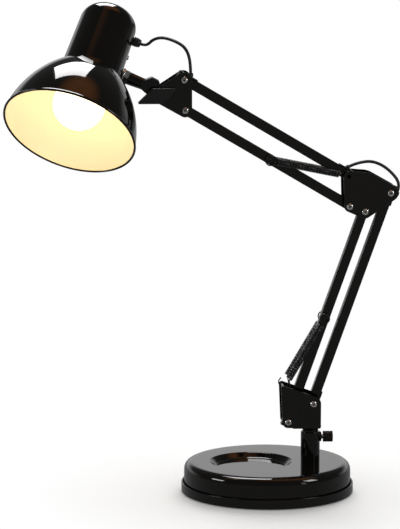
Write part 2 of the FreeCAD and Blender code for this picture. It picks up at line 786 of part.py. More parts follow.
guide_reach, guide_thick = size("guide_reach"), size("guide_thick")
guide_cap, port_radius = size("guide_cap"), size("port_radius")
port_length, port_lift = guide_thick + port_radius, size("port_lift")
link_top = half_tube + guide_thick
head_port_base = (link_top - guide_thick / 2, upper_length - port_radius * 2)
elbow_port_base = (half_tube, port_radius * 2)
side_port_base = (link_top + port_radius - guide_thick / 2, lower_length - port_radius / 2)
UPWARDS = f"rotationy(90 - {upper_rise.formula})"
OVER_ELBOW = f"rotationy(180 - {upper_rise.formula} - {port_lift.formula})"
cord_bore = size("cord_radius") + size("cord_clearance")
entry = size("cord_entry") + cord_bore


def head_bore(name):
    """The cord's way in through the head port and the link's upper wall, in the link's own frame."""
    base = (head_port_base[0] + entry * upper_way[0], 0, head_port_base[1] - entry * upper_way[1])
    return cylinder(name, cord_bore, entry + port_length, base, UPWARDS)


pin_hole = size("pin_radius") + run_clearance
pivot_holes = [(as_size(0), as_size(0), bolt_hole), (lower_length, as_size(0), bolt_hole)]
lower_holes = pivot_holes + [(lower_pin_reach, as_size(0), pin_hole)]
node("lower_arm_tube", square_tube("lower_arm_tube", lower_length, pivot_h, LEAN, lower_holes))
node("lower_link_tube", square_tube("lower_link_tube", lower_length, pivot_g, LEAN, pivot_holes))
spring_pin("lower_spring_pin", lower_pin)

upper_ends = [(as_size(0), as_size(0), bolt_hole), (upper_length, as_size(0), bolt_hole)]
upper_holes = upper_ends + [(upper_pin_reach, -upper_pin_drop, pin_hole)]
node("upper_arm_tube", square_tube("upper_arm_tube", upper_length, pivot_a, RISE, upper_holes))
link_blank = square_tube("upper_link_blank", upper_length, ORIGIN, UPRIGHT, upper_ends)
link_drilled = cut("upper_link_drilled", link_blank, head_bore("link_bore"))
node("upper_link_tube", place(link_drilled, (pivot_f[0], 0, pivot_f[1]), RISE))
spring_pin("upper_spring_pin", upper_pin)


def cord_guide(name, foot, turn, pivot_reach, end_sign, port=None, bore=None):
    """A moulded guide on the outer face of a tube's end, with a cap over the end and a port for the
    cord. end_sign is -1 at the foot of the tube and 1 at its head."""
    start = pivot_reach - guide_reach if end_sign > 0 else pivot_reach - tube_overrun - guide_cap
    length = guide_reach + tube_overrun + guide_cap
    saddle = box(name + "_saddle", guide_thick, tube_side, length, (half_tube, -half_tube, start))
    cap_start = pivot_reach + tube_overrun if end_sign > 0 else pivot_reach - tube_overrun - guide_cap
    cap = box(name + "_cap", tube_side, tube_side, guide_cap, (-half_tube, -half_tube, cap_start))
    if not port:
        return node(name, place(fuse(name, saddle, cap), (foot[0], 0, foot[1]), turn))
    whole = pivot_reach + tube_overrun if end_sign > 0 else guide_reach + tube_overrun
    tube_space = box(name + "_space", tube_side, tube_side, whole, (-half_tube, -half_tube, -tube_overrun))
    guide = cut(name, fuse(name + "_blank", saddle, cap, port), tube_space, *([bore] if bore else []))
    return node(name, place(guide, (foot[0], 0, foot[1]), turn))


# The ports are short collars that the cord runs into: an upright one on the head end of the upper
# link, one at its elbow end that looks up over the elbow, and one beside the head of the lower link.
def port_at(name, base, length, turn):
    return cylinder(name, port_radius, length, (base[0], 0, base[1]), turn)


head_port = port_at("head_port", head_port_base, port_length, UPWARDS)
elbow_port = port_at("elbow_port", elbow_port_base, port_length, OVER_ELBOW)
side_port = port_at("side_port", side_port_base, port_length, UPRIGHT)
cord_guide("upper_link_head_guide", pivot_f, RISE, upper_length, 1, head_port, head_bore("port_bore"))
cord_guide("upper_link_elbow_guide", pivot_f, RISE, as_size(0), -1, elbow_port)
cord_guide("lower_link_head_guide", pivot_g, LEAN, lower_length, 1, side_port)
cord_guide("lower_link_foot_guide", pivot_g, LEAN, as_size(0), -1)


# ---------------------------------------------------------------------------------------------
# Elbow and head brackets: a near and a far plate each
# ---------------------------------------------------------------------------------------------

def plate_pair(prefix, rounds, holes):
    node(f"{prefix}_plate_near", plate(f"{prefix}_plate_near", rounds, plate_thick, -plate_inner, holes))
    node(f"{prefix}_plate_far", plate(f"{prefix}_plate_far", rounds, plate_thick, plate_outer, holes))


hump = (pivot_b[0] + size("elbow_hump_x"), pivot_b[1] + size("elbow_hump_z"), size("elbow_hump_round"))
elbow_pivots = {"a": pivot_a, "b": pivot_b, "c": pivot_c, "f": pivot_f}
plate_pair("elbow", [
    (*pivot_b, size("elbow_b_round")),
    (*pivot_c, size("elbow_c_round")),
    hump,
    (*pivot_f, size("elbow_f_round")),
    (*pivot_a, size("elbow_a_round")),
], [(*pivot, bolt_hole) for pivot in elbow_pivots.values()])
slim = size("spring_spacer_radius")
pivot_set("elbow", elbow_pivots, {"a": plain, "b": plain, "c": plain, "f": slim}, riveted=("f",))
node("elbow_rivet", rivet("elbow_rivet", pivot_f))

tilt_radius = size("tilt_bolt_radius")
tilt_hole = tilt_radius + run_clearance
head_pivots = {"d": pivot_d, "e": pivot_e}
plate_pair("head", [
    (*pivot_e, size("head_e_round")),
    (*pivot_d, size("head_d_round")),
    (*pivot_t, size("head_t_round")),
], [(*pivot, bolt_hole) for pivot in head_pivots.values()] + [(*pivot_t, tilt_hole)])
pivot_set("head", head_pivots, {"d": plain, "e": plain})

tilt_nut_across = size("nut_across") + size("bolt_tail") * 2
node("tilt_nut", nut("tilt_nut", pivot_t, tilt_radius, tilt_nut_across))

wing_reach, wing_drop = size("wing_reach"), size("wing_drop")
wing_shoulder, wing_round = size("wing_shoulder"), size("wing_round")
wing_back = -plate_outer - size("wing_gap")
wing_thick = size("wing_thick")
wing_front = wing_back - wing_thick
wing_blade = plate("wing_blade", [
    (pivot_t[0] + wing_shoulder, pivot_t[1] - wing_drop, wing_round),
    (pivot_t[0] + wing_reach, pivot_t[1] + wing_drop, wing_round),
    (pivot_t[0] - wing_shoulder, pivot_t[1] + wing_drop, wing_round),
    (pivot_t[0] - wing_reach, pivot_t[1] - wing_drop, wing_round),
], wing_thick, wing_back)
hub_length = wing_thick + size("wing_gap")
hub_base = (pivot_t[0], wing_front, pivot_t[1])
wing_hub = cylinder("wing_hub", size("wing_hub_radius"), hub_length, hub_base, ALONG_Y)
wing_bore_base = (pivot_t[0], wing_front + wing_round, pivot_t[1])
wing_bore = cylinder("wing_bore", tilt_hole, hub_length - wing_round, wing_bore_base, ALONG_Y)
node("wing_knob", cut("wing_knob", fuse("wing_blank", wing_blade, wing_hub), wing_bore))
tilt_bolt_start = wing_front + wing_round + run_clearance
tilt_bolt_length = plate_outer + size("nut_height") + size("bolt_tail") - tilt_bolt_start
tilt_bolt_base = (pivot_t[0], tilt_bolt_start, pivot_t[1])
node("wing_bolt", cylinder("wing_bolt", tilt_radius, tilt_bolt_length, tilt_bolt_base, ALONG_Y))


# ---------------------------------------------------------------------------------------------
# Stem and its knuckle
# ---------------------------------------------------------------------------------------------

stem_slope, head_turn = size("stem_slope"), size("head_turn")
stem_out = (-cos_of(stem_slope), sin_of(stem_slope))
stem_up = (sin_of(stem_slope), cos_of(stem_slope))
stem_rise, stem_length = size("stem_rise"), size("stem_length")
lobe_x = size("knuckle_lobe_x")
lobe_centre = (
    pivot_t[0] + lobe_x,
    pivot_t[1] + stem_rise - lobe_x * sin_of(stem_slope) / cos_of(stem_slope),
)
head_centre = (lobe_centre[0] + stem_length * stem_out[0], lobe_centre[1] + stem_length * stem_out[1])
HEAD_TURN = f"rotationy({stem_slope.formula}) * rotationx(-{head_turn.formula})"
OUT_OF_NECK = f"rotationy({stem_slope.formula} + 90)"


def on_stem(reach):
    """A point on the stem's line, reach from the neck's axis towards the knuckle."""
    return (head_centre[0] - reach * stem_out[0], 0, head_centre[1] - reach * stem_out[1])


neck_base, neck_shoulder = size("neck_base"), size("neck_shoulder")
neck_base_radius, neck_shoulder_radius = size("neck_base_radius"), size("neck_shoulder_radius")
neck_wall = size("neck_wall")
neck_slope = (neck_shoulder_radius - neck_base_radius) / (neck_shoulder - neck_base)


def neck_radius_at(height):
    return neck_base_radius + neck_slope * (height - neck_base)


stem_radius_at_neck = neck_radius_at(as_size(0))
washer_thick, washer_radius = size("washer_thick"), size("washer_radius")
thread_radius = size("stem_thread_radius")
washer_start = neck_radius_at(-washer_radius) + run_clearance
locknut_start = washer_start + washer_thick
locknut_height = size("locknut_height")
stem_start = locknut_start + locknut_height
lobe = size("knuckle_lobe")
stem_end = stem_length - lobe
thread_start = stem_radius_at_neck - neck_wall * 2 - size("ring_height")
stem_cone = cone(
    "stem_cone", size("stem_root_radius"), size("stem_tip_radius"), stem_end - stem_start,
    on_stem(stem_start), OUT_OF_NECK,
)
thread_base = on_stem(thread_start)
stem_thread = cylinder("stem_thread", thread_radius, stem_start - thread_start, thread_base, OUT_OF_NECK)
node("head_stem", fuse("head_stem", stem_cone, stem_thread))

thread_hole = thread_radius + run_clearance
washer_base = on_stem(washer_start)
washer_blank = cylinder("stem_washer_blank", washer_radius, washer_thick, washer_base, OUT_OF_NECK)
washer_bore = cylinder("stem_washer_bore", thread_hole, washer_thick, washer_base, OUT_OF_NECK)
node("stem_washer", cut("stem_washer", washer_blank, washer_bore))
locknut_base = on_stem(locknut_start)
locknut_hex = hexagon("stem_locknut_hex", size("locknut_across"), locknut_height, locknut_base, OUT_OF_NECK)
locknut_bore = cylinder("stem_locknut_bore", thread_hole, locknut_height, locknut_base, OUT_OF_NECK)
node("stem_locknut", cut("stem_locknut", locknut_hex, locknut_bore))
stem_nut_height = size("ring_height") - neck_wall
stem_nut_base = on_stem(thread_start + neck_wall / 2)
stem_nut_hex = hexagon("stem_nut_hex", washer_radius * 1.5, stem_nut_height, stem_nut_base, OUT_OF_NECK)
stem_nut_bore = cylinder("stem_nut_bore", thread_hole, stem_nut_height, stem_nut_base, OUT_OF_NECK)
node("stem_nut", cut("stem_nut", stem_nut_hex, stem_nut_bore))

corner = size("knuckle_corner")
knuckle_width = size("knuckle_half_width") * 2
knuckle_block = plate("knuckle_block", [
    (*pivot_t, size("knuckle_hub_radius")),
    (pivot_t[0] + corner / 2, pivot_t[1] + lobe * 2, corner),
    (pivot_t[0] - lobe + corner, pivot_t[1] + lobe * 2 + corner + corner / 2, corner),
    (*lobe_centre, lobe),
], knuckle_width, size("knuckle_half_width"))
hub_half = plate_inner - side_clearance
hub_base = (pivot_t[0], -hub_half, pivot_t[1])
knuckle_hub = cylinder("knuckle_hub", size("knuckle_hub_radius"), hub_half * 2, hub_base, ALONG_Y)
knuckle_socket = cylinder("knuckle_socket", size("stem_tip_radius"), lobe, on_stem(stem_end), OUT_OF_NECK)
knuckle_bore = cylinder("knuckle_bore", tilt_hole, hub_half * 2, hub_base, ALONG_Y)
knuckle_blank = fuse("knuckle_blank", knuckle_block, knuckle_hub, knuckle_socket)
node("stem_knuckle", cut("stem_knuckle", knuckle_blank, knuckle_bore))


# ---------------------------------------------------------------------------------------------
# Head: neck cap, shade, lampholder and lamp. Each is turned about the shade's axis.
# ---------------------------------------------------------------------------------------------

HEAD_BASE = (head_centre[0], 0, head_centre[1])


def in_head(thing):
    return place(thing, HEAD_BASE, HEAD_TURN)


dome_height, dome_corner = size("dome_height"), size("dome_corner")


def dome_corners(radius, height, corner_radius, shoulder):
    """The last corners of a domed outline: a small round at the shoulder that runs into a wide crown."""
    inset = radius - corner_radius
    crown = (inset * inset + height * height - corner_radius * corner_radius) / (height - corner_radius) / 2
    drop = crown - height
    reach = root_of(inset * inset + drop * drop)
    touch = (inset / reach * crown, shoulder - drop + drop / reach * crown)
    return (radius, shoulder, corner_radius), (*touch, crown), (0, shoulder + height)


outer_dome = dome_corners(neck_shoulder_radius, dome_height, dome_corner, neck_shoulder)
inner_dome = dome_corners(
    neck_shoulder_radius - neck_wall, dome_height - neck_wall, dome_corner - neck_wall, neck_shoulder
)
crown_start, crown_touch, crown_top = inner_dome
neck_skin = in_head(turned("neck_skin", [
    (neck_base_radius - neck_wall, neck_base),
    (neck_base_radius, neck_base),
    *outer_dome,
    (*crown_top, -crown_touch[2]),
    (*crown_touch[:2], -crown_start[2]),
    crown_start[:2],
]))
screw_height, gland_height = size("neck_screw_height"), size("gland_height")
gland_bore = size("gland_bore")
gland_seat = size("gland_radius") - neck_wall


def neck_hole(name, radius, height):
    """A round tool that leaves the neck's axis sideways, at a height along the axis."""
    tool = cylinder(name + "_round", radius, neck_base_radius * 2, (0, 0, height), ALONG_X)
    return in_head(group(name, tool))


neck_stem_hole = neck_hole("neck_stem_hole", thread_hole, as_size(0))
neck_screw_hole = neck_hole("neck_screw_hole", size("neck_screw_radius") + run_clearance, screw_height)
neck_gland_hole = neck_hole("neck_gland_hole", gland_seat + run_clearance, gland_height)
node("neck_cap", cut("neck_cap", neck_skin, neck_stem_hole, neck_screw_hole, neck_gland_hole))

rim, rim_radius, bead = size("shade_rim"), size("shade_rim_radius"), size("rim_bead")
seat, step, bow = size("shade_seat_radius"), size("shade_step"), size("shade_bow")
shade_wall = size("shade_wall")
skirt_radius = rim_radius - bead
holder_radius = size("holder_radius")
shade_skin = in_head(turned("shade_skin", [
    (holder_radius + side_clearance, neck_base),
    (holder_radius + side_clearance, neck_base - shade_wall),
    (seat - shade_wall, neck_base - shade_wall),
    (seat + step - shade_wall, neck_base - step - shade_wall, -(bow - shade_wall)),
    (skirt_radius - shade_wall / 2, rim + bead),
    (skirt_radius + shade_wall / 2, rim + bead, bow),
    (seat + step, neck_base - step),
    (seat, neck_base),
]))
rim_roll = place(
    bind(doc.addObject("Part::Torus", "rim_roll"), Radius1=skirt_radius, Radius2=bead),
    (0, 0, rim + bead),
)
node("shade", fuse("shade", shade_skin, in_head(group("rim_roll_placed", rim_roll))))

flange, flange_thick = size("holder_flange"), size("holder_flange_thick")
holder_bore, holder_top = size("holder_bore"), size("holder_top")
holder_foot = neck_base - size("holder_skirt")
holder_web = holder_top - flange_thick
node("lampholder", in_head(turned("lampholder", [
    (size("holder_mouth"), holder_foot),
    (holder_radius, holder_foot),
    (holder_radius, neck_base),
    (flange, neck_base),
    (flange, neck_base + flange_thick),
    (holder_radius, neck_base + flange_thick),
    (holder_radius, holder_top),
    (0, holder_top),
    (0, holder_web),
    (holder_bore, holder_web),
    (holder_bore, size("bulb_cap_base")),
])))
ring_top = neck_base - shade_wall
ring_foot = ring_top - size("ring_height")
node("shade_ring", in_head(turned("shade_ring", [
    (holder_radius + run_clearance, ring_foot),
    (size("ring_radius"), ring_foot),
    (size("ring_radius"), ring_top),
    (holder_radius + run_clearance, ring_top),
])))

bulb_centre, bulb_radius = size("bulb_centre"), size("bulb_radius")
bulb_neck = size("bulb_neck_radius")
cap_base, cap_radius = size("bulb_cap_base"), size("bulb_cap_radius")
waist_rise = bulb_radius * 2 / 3
waist_radius = root_of(bulb_radius * bulb_radius - waist_rise * waist_rise)
bulb_wall = size("bulb_wall")
inner_bulb = bulb_radius - bulb_wall
inner_waist = root_of(inner_bulb * inner_bulb - waist_rise * waist_rise)
node("bulb_glass", in_head(turned("bulb_glass", [
    (0, bulb_centre - bulb_radius, bulb_radius),
    (waist_radius, bulb_centre + waist_rise),
    (bulb_neck, cap_base),
    (bulb_neck - bulb_wall, cap_base),
    (inner_waist, bulb_centre + waist_rise, -inner_bulb),
    (0, bulb_centre - inner_bulb),
])))
cap_top = cap_base + size("bulb_cap_length")
contact_radius = size("bulb_contact_radius")
node("bulb_cap", in_head(turned("bulb_cap", [
    (0, cap_base),
    (cap_radius, cap_base),
    (cap_radius, cap_top - contact_radius),
    (contact_radius, cap_top),
    (0, cap_top),
])))


def side_fitting(name, corners, height):
    """A small round fitting that sticks out of the neck's side, towards the knuckle."""
    return in_head(group(name, turned(name + "_round", corners, (0, 0, height), ALONG_X)))


neck_screw_radius, neck_screw_head = size("neck_screw_radius"), size("neck_screw_head")
screw_seat = neck_radius_at(screw_height - neck_screw_head) + run_clearance
node("neck_screw", side_fitting("neck_screw", [
    (0, screw_seat - neck_wall * 4),
    (neck_screw_radius, screw_seat - neck_wall * 4),
    (neck_screw_radius, screw_seat),
    (neck_screw_head, screw_seat),
    (neck_screw_head - neck_screw_radius / 2, screw_seat + neck_screw_radius),
    (0, screw_seat + neck_screw_radius),
], screw_height))
gland_radius = size("gland_radius")
gland_start = neck_radius_at(gland_height - gland_radius) + run_clearance
gland_end = gland_start + size("gland_length")
node("cable_gland", side_fitting("cable_gland", [
    (gland_bore, gland_start - neck_wall * 3),
    (gland_seat, gland_start - neck_wall * 3),
    (gland_seat, gland_start),
    (gland_radius, gland_start),
    (gland_radius, gland_end - gland_seat),
    (gland_seat, gland_end),
    (gland_bore, gland_end),
], gland_height))


# ---------------------------------------------------------------------------------------------
# Springs: each is one wire, wound in half turns, that ends in a loop round its pin
# ---------------------------------------------------------------------------------------------

def circular_arc(start, apex, finish):
    """The arc from start to finish whose end tangents meet at apex."""
    middle = (start + finish) * 0.5
    half_chord = (finish - start).Length / 2
    to_apex = apex - middle
    sagitta = half_chord * math.tan(math.atan2(to_apex.Length, half_chord) / 2)
    return Part.Arc(start, middle + to_apex.normalize() * sagitta, finish).toShape()


def joining_arcs(start, start_way, finish, finish_way):
    """Two arcs that leave start along start_way and reach finish along finish_way."""
    span = finish - start
    both = start_way + finish_way
    spread = 2 * (1 - start_way.dot(finish_way))
    along = span.dot(both)
    reach = (math.sqrt(along**2 + 2 * spread * span.dot(span) / 2) - along) / spread
    first_apex = start + start_way * reach
    second_apex = finish - finish_way * reach
    meeting = (first_apex + second_apex) * 0.5
    return [circular_arc(start, first_apex, meeting), circular_arc(meeting, second_apex, finish)]


def spring_shape(length, wire, coil, turns, first_loop, first_pin, last_loop, last_pin):
    """A spring along +X between a pin at 0 and a pin at length. The pins and loops look along Y."""
    def spoke(x, radius, angle):
        return FreeCAD.Vector(x, radius * math.cos(angle), radius * math.sin(angle))

    def in_loop(centre, radius, angle):
        return FreeCAD.Vector(centre + radius * math.cos(angle), 0, radius * math.sin(angle))

    first_centre = first_loop - wire - first_pin
    last_centre = length - (last_loop - wire - last_pin)
    coil_start = first_centre + first_loop + wire * 2
    coil_end = last_centre - last_loop - wire * 2
    pitch = (coil_end - coil_start) / turns
    stops = [
        (in_loop(first_centre, first_loop, angle), FreeCAD.Vector(-math.sin(angle), 0, math.cos(angle)))
        for angle in (math.radians(60), math.radians(180), math.radians(300))
    ]
    slope = math.atan2(pitch, 2 * math.pi * coil)
    for half_turn in range(2 * turns + 1):
        angle = math.pi * half_turn - math.pi / 2
        way = FreeCAD.Vector(
            math.sin(slope), -math.cos(slope) * math.sin(angle), math.cos(slope) * math.cos(angle)
        )
        stops.append((spoke(coil_start + pitch * half_turn / 2, coil, angle), way))
    stops += [
        (in_loop(last_centre, last_loop, angle), FreeCAD.Vector(-math.sin(angle), 0, math.cos(angle)))
        for angle in (math.radians(-120), math.radians(0), math.radians(120))
    ]
    edges = []
    for (start, way), (finish, next_way) in zip(stops, stops[1:]):
        edges += joining_arcs(start, way, finish, next_way)
    (start, start_way), (finish, finish_way) = stops[0], stops[-1]
    wire_start = start - start_way * wire * 2
    edges.insert(0, Part.LineSegment(wire_start, start).toShape())
    edges.append(Part.LineSegment(finish, finish + finish_way * wire * 2).toShape())
    path = Part.Wire(edges)
    ring = Part.Wire(Part.Circle(wire_start, start_way, wire).toShape())
    return path, path.makePipeShell([ring], True, False)


def least_gap(path, wire):
    """The smallest gap that a wire of this radius leaves between stretches of its path."""
    points = path.discretize(Distance=wire / 2)
    skip = math.ceil(4 * wire / (wire / 2))
    gap = math.inf
    for index, point in enumerate(points):
        for other in points[index + skip:]:
            gap = min(gap, point.distanceToPoint(other))
    return gap - 2 * wire


def number(name):
    return size(name).number


def spring_pair(prefix, foot, head, first_loop, first_pin, last_pin):
    """The near and far spring between two pins."""
    start = FreeCAD.Vector(foot[0].number, 0, foot[1].number)
    finish = FreeCAD.Vector(head[0].number, 0, head[1].number)
    span = finish - start
    wire = number("spring_wire")
    path, shape = spring_shape(
        span.Length, wire, number("spring_coil"), round(number("spring_turns")),
        first_loop, first_pin, number("spring_loop"), last_pin,
    )
    print(f"{prefix}: wire {path.Length:.1f} long, least gap to itself {least_gap(path, wire):.2f}")
    turn = FreeCAD.Rotation(FreeCAD.Vector(0, 1, 0), math.degrees(-math.atan2(span.z, span.x)))
    for side, offset in (("near", -number("spring_offset")), ("far", number("spring_offset"))):
        made = doc.addObject("Part::Feature", f"{prefix}_{side}")
        made.Shape = shape
        made.Placement = FreeCAD.Placement(start + FreeCAD.Vector(0, offset, 0), turn)
        node(f"{prefix}_{side}", made)


pin_radius = number("pin_radius")
anchor_loop, anchor_pin = number("anchor_loop"), number("anchor_radius")
upper_loop, upper_anchor = number("spring_loop"), number("spring_spacer_radius")
spring_pair("lower_spring", anchor, lower_pin, anchor_loop, anchor_pin, pin_radius)
spring_pair("upper_spring", pivot_f, upper_pin, upper_loop, upper_anchor, pin_radius)


# ---------------------------------------------------------------------------------------------
# Lamp cord: a loop from the neck's gland into the upper link, and one round the elbow
# ---------------------------------------------------------------------------------------------

def rounded_path(points):
    """Straight runs joined by arcs that touch them, each arc as large as its two runs allow."""
    edges = []
    radii = []
    last = points[0]
    for before, point, after in zip(points, points[1:], points[2:]):
        back, ahead = before - point, after - point
        turn = math.pi - back.getAngle(ahead)
        setback = 0.45 * min(back.Length, ahead.Length)
        radii.append(setback / math.tan(turn / 2))
        start = point + back.normalize() * setback
        finish = point + ahead.normalize() * setback
        edges.append(Part.LineSegment(last, start).toShape())
        edges.append(circular_arc(start, point, finish))
        last = finish
    edges.append(Part.LineSegment(last, points[-1]).toShape())
    return Part.Wire(edges), radii


def cord(name, points):
    path, radii = rounded_path(points)
    radius = number("cord_radius")
    ring = Part.Wire(Part.Circle(points[0], points[1] - points[0], radius).toShape())
    solid = path.makePipeShell([ring], True, False)
    filled = solid.Volume / (math.pi * radius**2 * path.Length)
    print(f"{name}: {path.Length:.1f} long, volume over section times length {filled:.4f}")
    print(f"{name}: bend radii " + ", ".join(f"{bend:.1f}" for bend in radii))
    corners = " ".join(f"({point.x:.1f}, {point.y:.1f}, {point.z:.1f})" for point in points)
    print(f"{name}: through {corners}")
    made = doc.addObject("Part::Feature", name)
    made.Shape = solid
    node(name, made)


def beside(foot, angle, across, along):
    """The point of a tube's own frame, whose Z axis leans by angle, in the XZ plane."""
    lean = math.radians(angle)
    x = foot[0].number + across.number * math.cos(lean) + along.number * math.sin(lean)
    z = foot[1].number - across.number * math.sin(lean) + along.number * math.cos(lean)
    return FreeCAD.Vector(x, 0, z)


def direction(angle):
    """The direction in the XZ plane that rises from +X by angle."""
    return FreeCAD.Vector(math.cos(math.radians(angle)), 0, math.sin(math.radians(angle)))


def steps(start, offsets):
    return [start + FreeCAD.Vector(*offset) for offset in offsets]


rise_angle, lean_angle = upper_rise.number - 90, lower_lean.number
up = FreeCAD.Vector(0, 0, 1)
gland_way = direction(-stem_slope.number)
turn_of_head = FreeCAD.Rotation(FreeCAD.Vector(0, 1, 0), stem_slope.number)
turn_of_head = turn_of_head * FreeCAD.Rotation(FreeCAD.Vector(1, 0, 0), -head_turn.number)
head_middle = FreeCAD.Vector(head_centre[0].number, 0, head_centre[1].number)
gland_mouth = head_middle + turn_of_head.multVec(FreeCAD.Vector(gland_end.number, 0, gland_height.number))
head_port_mouth = beside(pivot_f, rise_angle, *head_port_base) + up * port_length.number
cord("head_cord", [
    gland_mouth - gland_way * 3,
    gland_mouth + gland_way * 2.4,
    *steps(gland_mouth, [(7.8, -1.0, -0.7), (13.3, -3.5, 5.0), (22.3, -8.5, 7.6)]),
    *steps(head_port_mouth, [(-18.7, 13.0, 34.0), (-7.2, 6.0, 28.2), (-1.7, 2.0, 18.7), (0, 0, 4.0)]),
    head_port_mouth - up * (port_length.number + number("cord_entry")),
])

elbow_way = direction(port_lift.number)
elbow_port_mouth = beside(pivot_f, rise_angle, *elbow_port_base) + elbow_way * port_length.number
side_way = direction(90 - lean_angle)
side_port_mouth = beside(pivot_g, lean_angle, *side_port_base) + side_way * port_length.number
cord("elbow_cord", [
    elbow_port_mouth,
    elbow_port_mouth + elbow_way * 5,
    *steps(elbow_port_mouth, [(14.3, 0, 4.9), (23.5, 0, 5.6)]),
    *steps(side_port_mouth, [(-18.9, 0, 29.9), (-10.6, 0, 24.5), (-3.8, 0, 17.8), (0.6, 0, 11.7)]),
    side_port_mouth + side_way * 5.2,
    side_port_mouth,
])


# ---------------------------------------------------------------------------------------------
# Check and write
# ---------------------------------------------------------------------------------------------

doc.recompute()
for thing in doc.Objects:
    if "Invalid" in thing.State or "Error" in thing.State:
        raise RuntimeError(f"{thing.Name} could not be made: {thing.State}")
os.makedirs("parts", exist_ok=True)
for name, made in nodes.items():
    if made.Shape.isNull() or not made.Shape.isValid() or not made.Shape.Solids:
        raise RuntimeError(f"{name} has no sound shape")
    made.Shape.exportStep(f"parts/{name}.step")
print(f"{len(nodes)} sub-parts written")
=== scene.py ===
import json
import math

import bmesh
import bpy
from mathutils import Matrix, Vector


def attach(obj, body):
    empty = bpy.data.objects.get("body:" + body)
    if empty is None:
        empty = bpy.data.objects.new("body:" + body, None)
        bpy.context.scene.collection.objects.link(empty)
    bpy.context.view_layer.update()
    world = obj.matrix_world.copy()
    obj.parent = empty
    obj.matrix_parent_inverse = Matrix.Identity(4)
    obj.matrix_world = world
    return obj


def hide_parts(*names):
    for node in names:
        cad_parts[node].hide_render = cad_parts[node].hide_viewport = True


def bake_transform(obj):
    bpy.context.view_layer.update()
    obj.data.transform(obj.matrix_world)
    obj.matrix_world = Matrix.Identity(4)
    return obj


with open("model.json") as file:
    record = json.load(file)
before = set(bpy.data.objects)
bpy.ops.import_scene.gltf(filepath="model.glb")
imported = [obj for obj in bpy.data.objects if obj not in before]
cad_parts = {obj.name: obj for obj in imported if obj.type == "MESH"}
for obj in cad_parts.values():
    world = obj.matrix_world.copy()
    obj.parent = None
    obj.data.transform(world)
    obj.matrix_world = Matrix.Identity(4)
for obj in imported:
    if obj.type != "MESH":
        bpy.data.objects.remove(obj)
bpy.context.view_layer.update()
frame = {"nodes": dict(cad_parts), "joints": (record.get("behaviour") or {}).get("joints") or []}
scene = bpy.context.scene


# Camera. A long lens nearly three metres away, a little left of square on and a little above the
# middle of the lamp, so that the near plates almost cover the far ones.

view_middle = Vector((-0.07246, 0.0, 0.24702))
view_distance = 2.8024
view_turn = math.radians(-3.01)
view_rise = math.radians(8.30)
view_back = Vector((
    math.sin(view_turn) * math.cos(view_rise),
    -math.cos(view_turn) * math.cos(view_rise),
    math.sin(view_rise),
))
camera_data = bpy.data.cameras.new("camera")
camera_data.lens = 179.07
camera_data.clip_end = 40.0
camera = bpy.data.objects.new("camera", camera_data)
camera.location = view_middle + view_back * view_distance
camera.rotation_mode = "QUATERNION"
camera.rotation_quaternion = (-view_back).to_track_quat("-Z", "Y")
scene.collection.objects.link(camera)
scene.camera = camera


# Lamp cord. A thin two-core flex in a smooth black sheath. It leaves the gland on the neck, loops
# over the head bracket into the upper link, comes out again at the elbow and drops into the lower
# link. Each route is cut into stretches, one for each two neighbouring parts it passes.

cord_diameter = 0.0034


def surface(name, colour, roughness, metallic=0.0, ior=1.45, grain=600.0, mottle=0.12, relief=0.04):
    """A finish with fine mottling in its colour and gloss and a faint relief."""
    made = bpy.data.materials.new(name)
    made.use_nodes = True
    nodes, link = made.node_tree.nodes, made.node_tree.links.new
    shader = nodes["Principled BSDF"]
    shader.inputs["Metallic"].default_value = metallic
    shader.inputs["IOR"].default_value = ior
    place = nodes.new("ShaderNodeTexCoord")
    stretch = nodes.new("ShaderNodeMapping")
    stretch.inputs["Scale"].default_value = (grain, grain, grain)
    link(place.outputs["Object"], stretch.inputs["Vector"])
    fine = nodes.new("ShaderNodeTexNoise")
    fine.inputs["Scale"].default_value = 1.0
    fine.inputs["Detail"].default_value = 5.0
    link(stretch.outputs["Vector"], fine.inputs["Vector"])
    broad = nodes.new("ShaderNodeTexNoise")
    broad.inputs["Scale"].default_value = grain / 14.0
    broad.inputs["Detail"].default_value = 3.0
    link(place.outputs["Object"], broad.inputs["Vector"])
    shades = nodes.new("ShaderNodeValToRGB")
    for stop, level in zip(shades.color_ramp.elements, (1.0 - mottle, 1.0 + mottle)):
        stop.color = [*(amount * level for amount in colour), 1.0]
    shades.color_ramp.elements[0].position = 0.32
    shades.color_ramp.elements[1].position = 0.68
    link(broad.outputs["Fac"], shades.inputs["Fac"])
    link(shades.outputs["Color"], shader.inputs["Base Color"])
    gloss = nodes.new("ShaderNodeMapRange")
    gloss.inputs["From Min"].default_value = 0.3
    gloss.inputs["From Max"].default_value = 0.7
    gloss.inputs["To Min"].default_value = roughness * 0.82
    gloss.inputs["To Max"].default_value = roughness * 1.22
    link(fine.outputs["Fac"], gloss.inputs["Value"])
    link(gloss.outputs["Result"], shader.inputs["Roughness"])
    bump = nodes.new("ShaderNodeBump")
    bump.inputs["Strength"].default_value = relief
    bump.inputs["Distance"].default_value = 0.0002
    link(fine.outputs["Fac"], bump.inputs["Height"])
    link(bump.outputs["Normal"], shader.inputs["Normal"])
    return made


def show(name, mesh, slot, *finishes, sharp=32.0):
    """Links a finished mesh, smooth but for its sharp edges, with its finishes. The slot argument is not
    used.
    """
    mesh.shade_smooth()
    mesh.set_sharp_from_angle(angle=math.radians(sharp))
    for finish in finishes:
        mesh.materials.append(finish)
    made = bpy.data.objects.new(name, mesh)
    scene.collection.objects.link(made)
    return made


